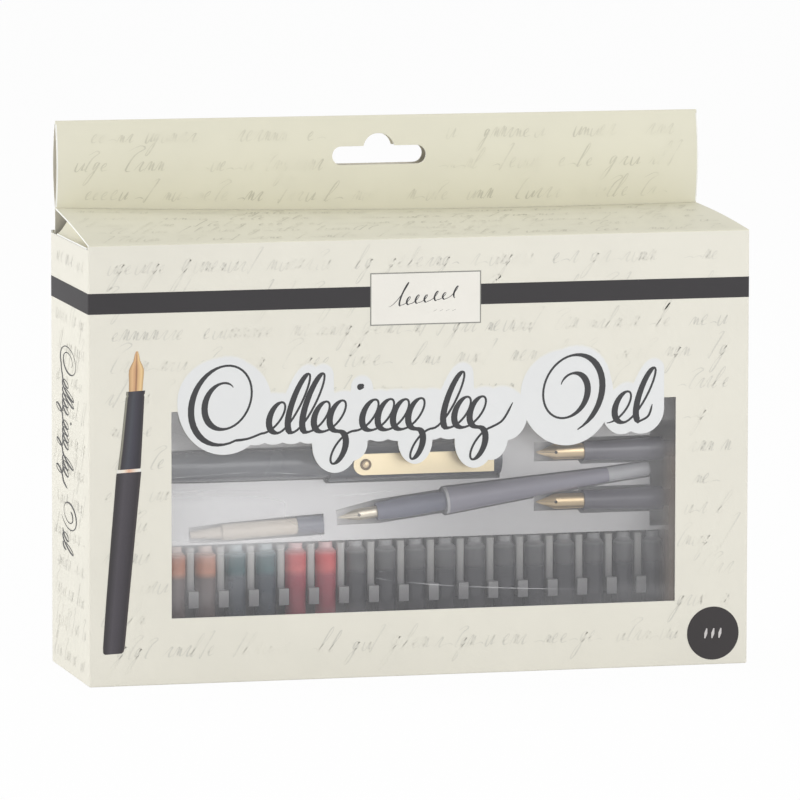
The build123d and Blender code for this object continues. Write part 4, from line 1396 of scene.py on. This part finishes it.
# by node, where one slot has more than one look; a shell's four colours run up from its bottom
ownLooks = {
    "cartridges_orange": tintedShell(
        "shellOrange", (104, 96, 94), (122, 106, 104), (216, 152, 126), (228, 206, 196),
    ),
    "cartridges_teal": tintedShell(
        "shellTeal", (74, 80, 92), (78, 88, 100), (74, 108, 114), (190, 204, 208),
    ),
    "cartridges_red": tintedShell(
        "shellRed", (136, 86, 96), (184, 80, 96), (230, 106, 108), (236, 196, 196),
    ),
    "cartridges_black": tintedShell(
        "shellBlack", (68, 68, 76), (76, 76, 82), (112, 112, 114), (180, 180, 181),
    ),
    "holder_nib": plasticMaterial("paleNib", (236, 226, 208), 0.36, 0.06, scale=120.0, metal=1.0),
    "pen_clip": plasticMaterial("clipPlate", (238, 222, 186), 0.34, 0.05, scale=90.0, metal=1.0, bump=0.0),
}
slotOf = {entry["node"]: entry["material_slot"] for entry in frame["record"]["subparts"]}


def dressSolids():
    # what has no look of its own is board
    inner = {"bottom_inner_flap", "bottom_dust_flap_left", "bottom_dust_flap_right", "seam_flap"}
    for name, piece in nodes.items():
        look = boardInside if name in inner else ownLooks.get(name) or looks.get(slotOf.get(name), creamPrint)
        piece.data.materials.clear()
        piece.data.materials.append(look)


dressSolids()


def makeRivet():
    # a turned head with a rolled rim, painted a dark gold as shade down into its recess, and a bright domed middle
    low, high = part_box("pen_clip_rivet")
    middle = (low + high) / 2
    radius, height = (high.x - low.x) / 2, high.y - low.y
    # share of the radius, share of the height, whether the face outside this ring is part of the rim, with its
    # painted shade
    rings = [(1.0, 0.0, 0), (1.0, 0.7, 1), (0.92, 0.95, 1), (0.82, 1.0, 1), (0.72, 0.8, 1), (0.66, 0.45, 1),
             (0.6, 0.45, 1), (0.5, 0.75, 0), (0.3, 0.92, 0)]
    turns = 40
    verts = []
    for share, rise, _ in rings:
        circle = arc(middle.x, middle.z, radius * share, 0, 360, turns)[:-1]
        verts += [(x, high.y - height * rise, z) for x, z in circle]
    faces = gridFaces(len(rings), turns, closed=True)
    indices = [part for _, _, part in rings[1:] for _ in range(turns)] + [0] * turns
    last = len(verts) - turns
    faces += [(last + k, last + (k + 1) % turns, len(verts)) for k in range(turns)]
    verts.append((middle.x, low.y, middle.z))
    # painted shade on the rim and in its recess
    rim = plasticMaterial("rivetRimShade", (120, 98, 66), 0.35, 0.1, scale=300.0, metal=1.0)
    addPiece("clipRivet", verts, faces, [looks["gold_metal"], rim], "carton", indices,
             replaced=["pen_clip_rivet"])


makeRivet()

ribs = {
    "count": 17,
    "width": 2.96 * mm,
    "low": 23.0 * mm,
    "high": 45.2 * mm,
    "slope": 1.2 * mm,
    "depth": 5.0 * mm,
    "behind": 0.1 * mm,
}
# the ribs take a darker copy of the tray's plastic as painted shade, darker again lower down
ribLook = {"Pale": srgb(184, 183, 181), "Shaded": srgb(134, 133, 135), "Top": 41.0 * mm, "Bottom": 26.0 * mm,
           "Depth": 0.0}


def makeRibs():
    # formed ridges that stand between the cartridges, rising from the floor of their row
    low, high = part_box("cartridges_orange")[0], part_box("cartridges_black")[1]
    radius = (high.y - low.y) / 2
    pitch = (high.x - low.x - 2 * radius) / (ribs["count"] - 1)
    foot = high.y + ribs["behind"]
    stations = [(ribs["low"], 0.0), (ribs["low"] + ribs["slope"], 1.0),
                (ribs["high"] - ribs["slope"], 1.0), (ribs["high"], 0.0)]
    steps = 10
    verts, faces = [], []
    for k in range(ribs["count"] - 1):
        middle = low.x + radius + pitch * (k + 0.5)
        faces += gridFaces(len(stations), steps + 1, len(verts))
        for z, rise in stations:
            for j in range(steps + 1):
                turn = math.pi * j / steps    # the powers square the half round off
                x = middle - ribs["width"] / 2 * math.copysign(abs(math.cos(turn)) ** 0.4, math.cos(turn))
                verts.append((x, foot - ribs["depth"] * rise * math.sin(turn) ** 0.25, z))
    plastic = plasticMaterial("ribPlasticShaded", (184, 183, 181), 0.45, 0.06, scale=40.0,
                              colorSource=fromGroup(rowShade, ribLook))
    settle(addPiece("trayRibs", verts, faces, [plastic], "carton"), 40)


makeRibs()
print("solids dressed")

camera = {
    "yaw": math.radians(14.2),
    "down": math.radians(7.14),
    "roll": math.radians(0.09),
    "lens": 404.3,
    "sensor": 36.0,
    "distance": 3059.4 * mm,
    "target": Vector((0.05 * mm, 0.0, 90.3 * mm)),
}


def addToScene(name, data):
    holder = bpy.data.objects.new(name, data)
    bpy.context.scene.collection.objects.link(holder)
    return holder


def makeCamera():
    yaw, down, roll = camera["yaw"], camera["down"], camera["roll"]
    ahead = Vector((math.sin(yaw) * math.cos(down), math.cos(yaw) * math.cos(down), -math.sin(down)))
    right = Vector((math.cos(yaw), -math.sin(yaw), 0.0))
    up = right.cross(ahead)
    rolledRight = right * math.cos(roll) + up * math.sin(roll)
    rolledUp = up * math.cos(roll) - right * math.sin(roll)
    data = bpy.data.cameras.new("camera")
    data.lens = camera["lens"]
    data.sensor_width = camera["sensor"]
    data.clip_end = 20.0
    holder = addToScene("camera", data)
    turn = Matrix((rolledRight, rolledUp, -ahead)).transposed().to_4x4()
    holder.matrix_world = Matrix.Translation(camera["target"] - ahead * camera["distance"]) @ turn
    bpy.context.scene.camera = holder


studio = {
    "reach": 4.0,            # of the floor's sweep, with the height and the bend of its rear wall
    "wall": 3.0,
    "bend": 0.8,
    "glow": 0.96,
    "world": 0.5,
    "aim": Vector((0, 0, 0.09)),
    # place, width and height, power
    "frontSoftbox": ((0.7, -1.6, 0.5), (1.4, 1.0), 13.6),
    "sideSoftbox": ((-1.6, 0.15, 0.55), (0.9, 1.1), 13.5),
    "topSoftbox": ((0.2, 0.2, 1.5), (1.2, 1.2), 4.9),
}


def floorMaterial():
    # shines white wherever the camera sees it, straight, mirrored or through the film
    material, tree, shader = newMaterial("paleFloor")
    fillSockets(tree, shader, {"Base Color": (0.9, 0.9, 0.9, 1), "Roughness": 0.9})
    glow = addNode(tree, "ShaderNodeEmission", {"Color": (1, 1, 1, 1), "Strength": 1.0})
    rays = addNode(tree, "ShaderNodeLightPath").outputs
    seen = calculate(tree, "MAXIMUM", rays["Is Camera Ray"], rays["Is Glossy Ray"])
    seen = calculate(tree, "MAXIMUM", seen, rays["Is Transmission Ray"])
    share = product(tree, seen, studio["glow"])
    mix = addNode(tree, "ShaderNodeMixShader", {"Fac": share, 1: shader.outputs[0], 2: glow.outputs[0]})
    tree.links.new(mix.outputs[0], tree.nodes["Material Output"].inputs["Surface"])
    return material


def makeFloor():
    # a pale sweep that shows white behind the object and keeps a soft shadow under it
    reach, bend = studio["reach"], studio["bend"]
    profile = [(-reach, 0.0)] + arc(reach - bend, bend, bend, -90, 0, 12) + [(reach, studio["wall"])]
    mesh = bpy.data.meshes.new("floor")
    mesh.from_pydata([(x, y, z) for y, z in profile for x in (-reach, reach)], [], gridFaces(len(profile), 2))
    mesh.materials.append(floorMaterial())
    mesh.shade_smooth()
    floor = addToScene("floor", mesh)


def makeLights():
    world = bpy.data.worlds.new("studio")
    world.use_nodes = True
    bpy.context.scene.world = world
    tree = world.node_tree
    plain = tree.nodes["Background"]
    fillSockets(tree, plain, {"Color": (1, 1, 1, 1), "Strength": studio["world"]})
    bright = addNode(tree, "ShaderNodeBackground", {"Color": (1, 1, 1, 1), "Strength": 1.0})
    seen = addNode(tree, "ShaderNodeLightPath").outputs["Is Camera Ray"]
    mix = addNode(tree, "ShaderNodeMixShader", {"Fac": seen, 1: plain.outputs[0], 2: bright.outputs[0]})
    tree.links.new(mix.outputs[0], tree.nodes["World Output"].inputs["Surface"])
    for name in ("frontSoftbox", "sideSoftbox", "topSoftbox"):
        place, size, power = studio[name]
        data = bpy.data.lights.new(name, "AREA")
        data.shape = "RECTANGLE"
        data.size, data.size_y = size
        data.energy = power
        light = addToScene(name, data)
        light.location = place
        light.rotation_euler = (studio["aim"] - Vector(place)).to_track_quat("-Z", "Y").to_euler()


makeCamera()
makeFloor()
makeLights()
print("stage, lights and camera made")
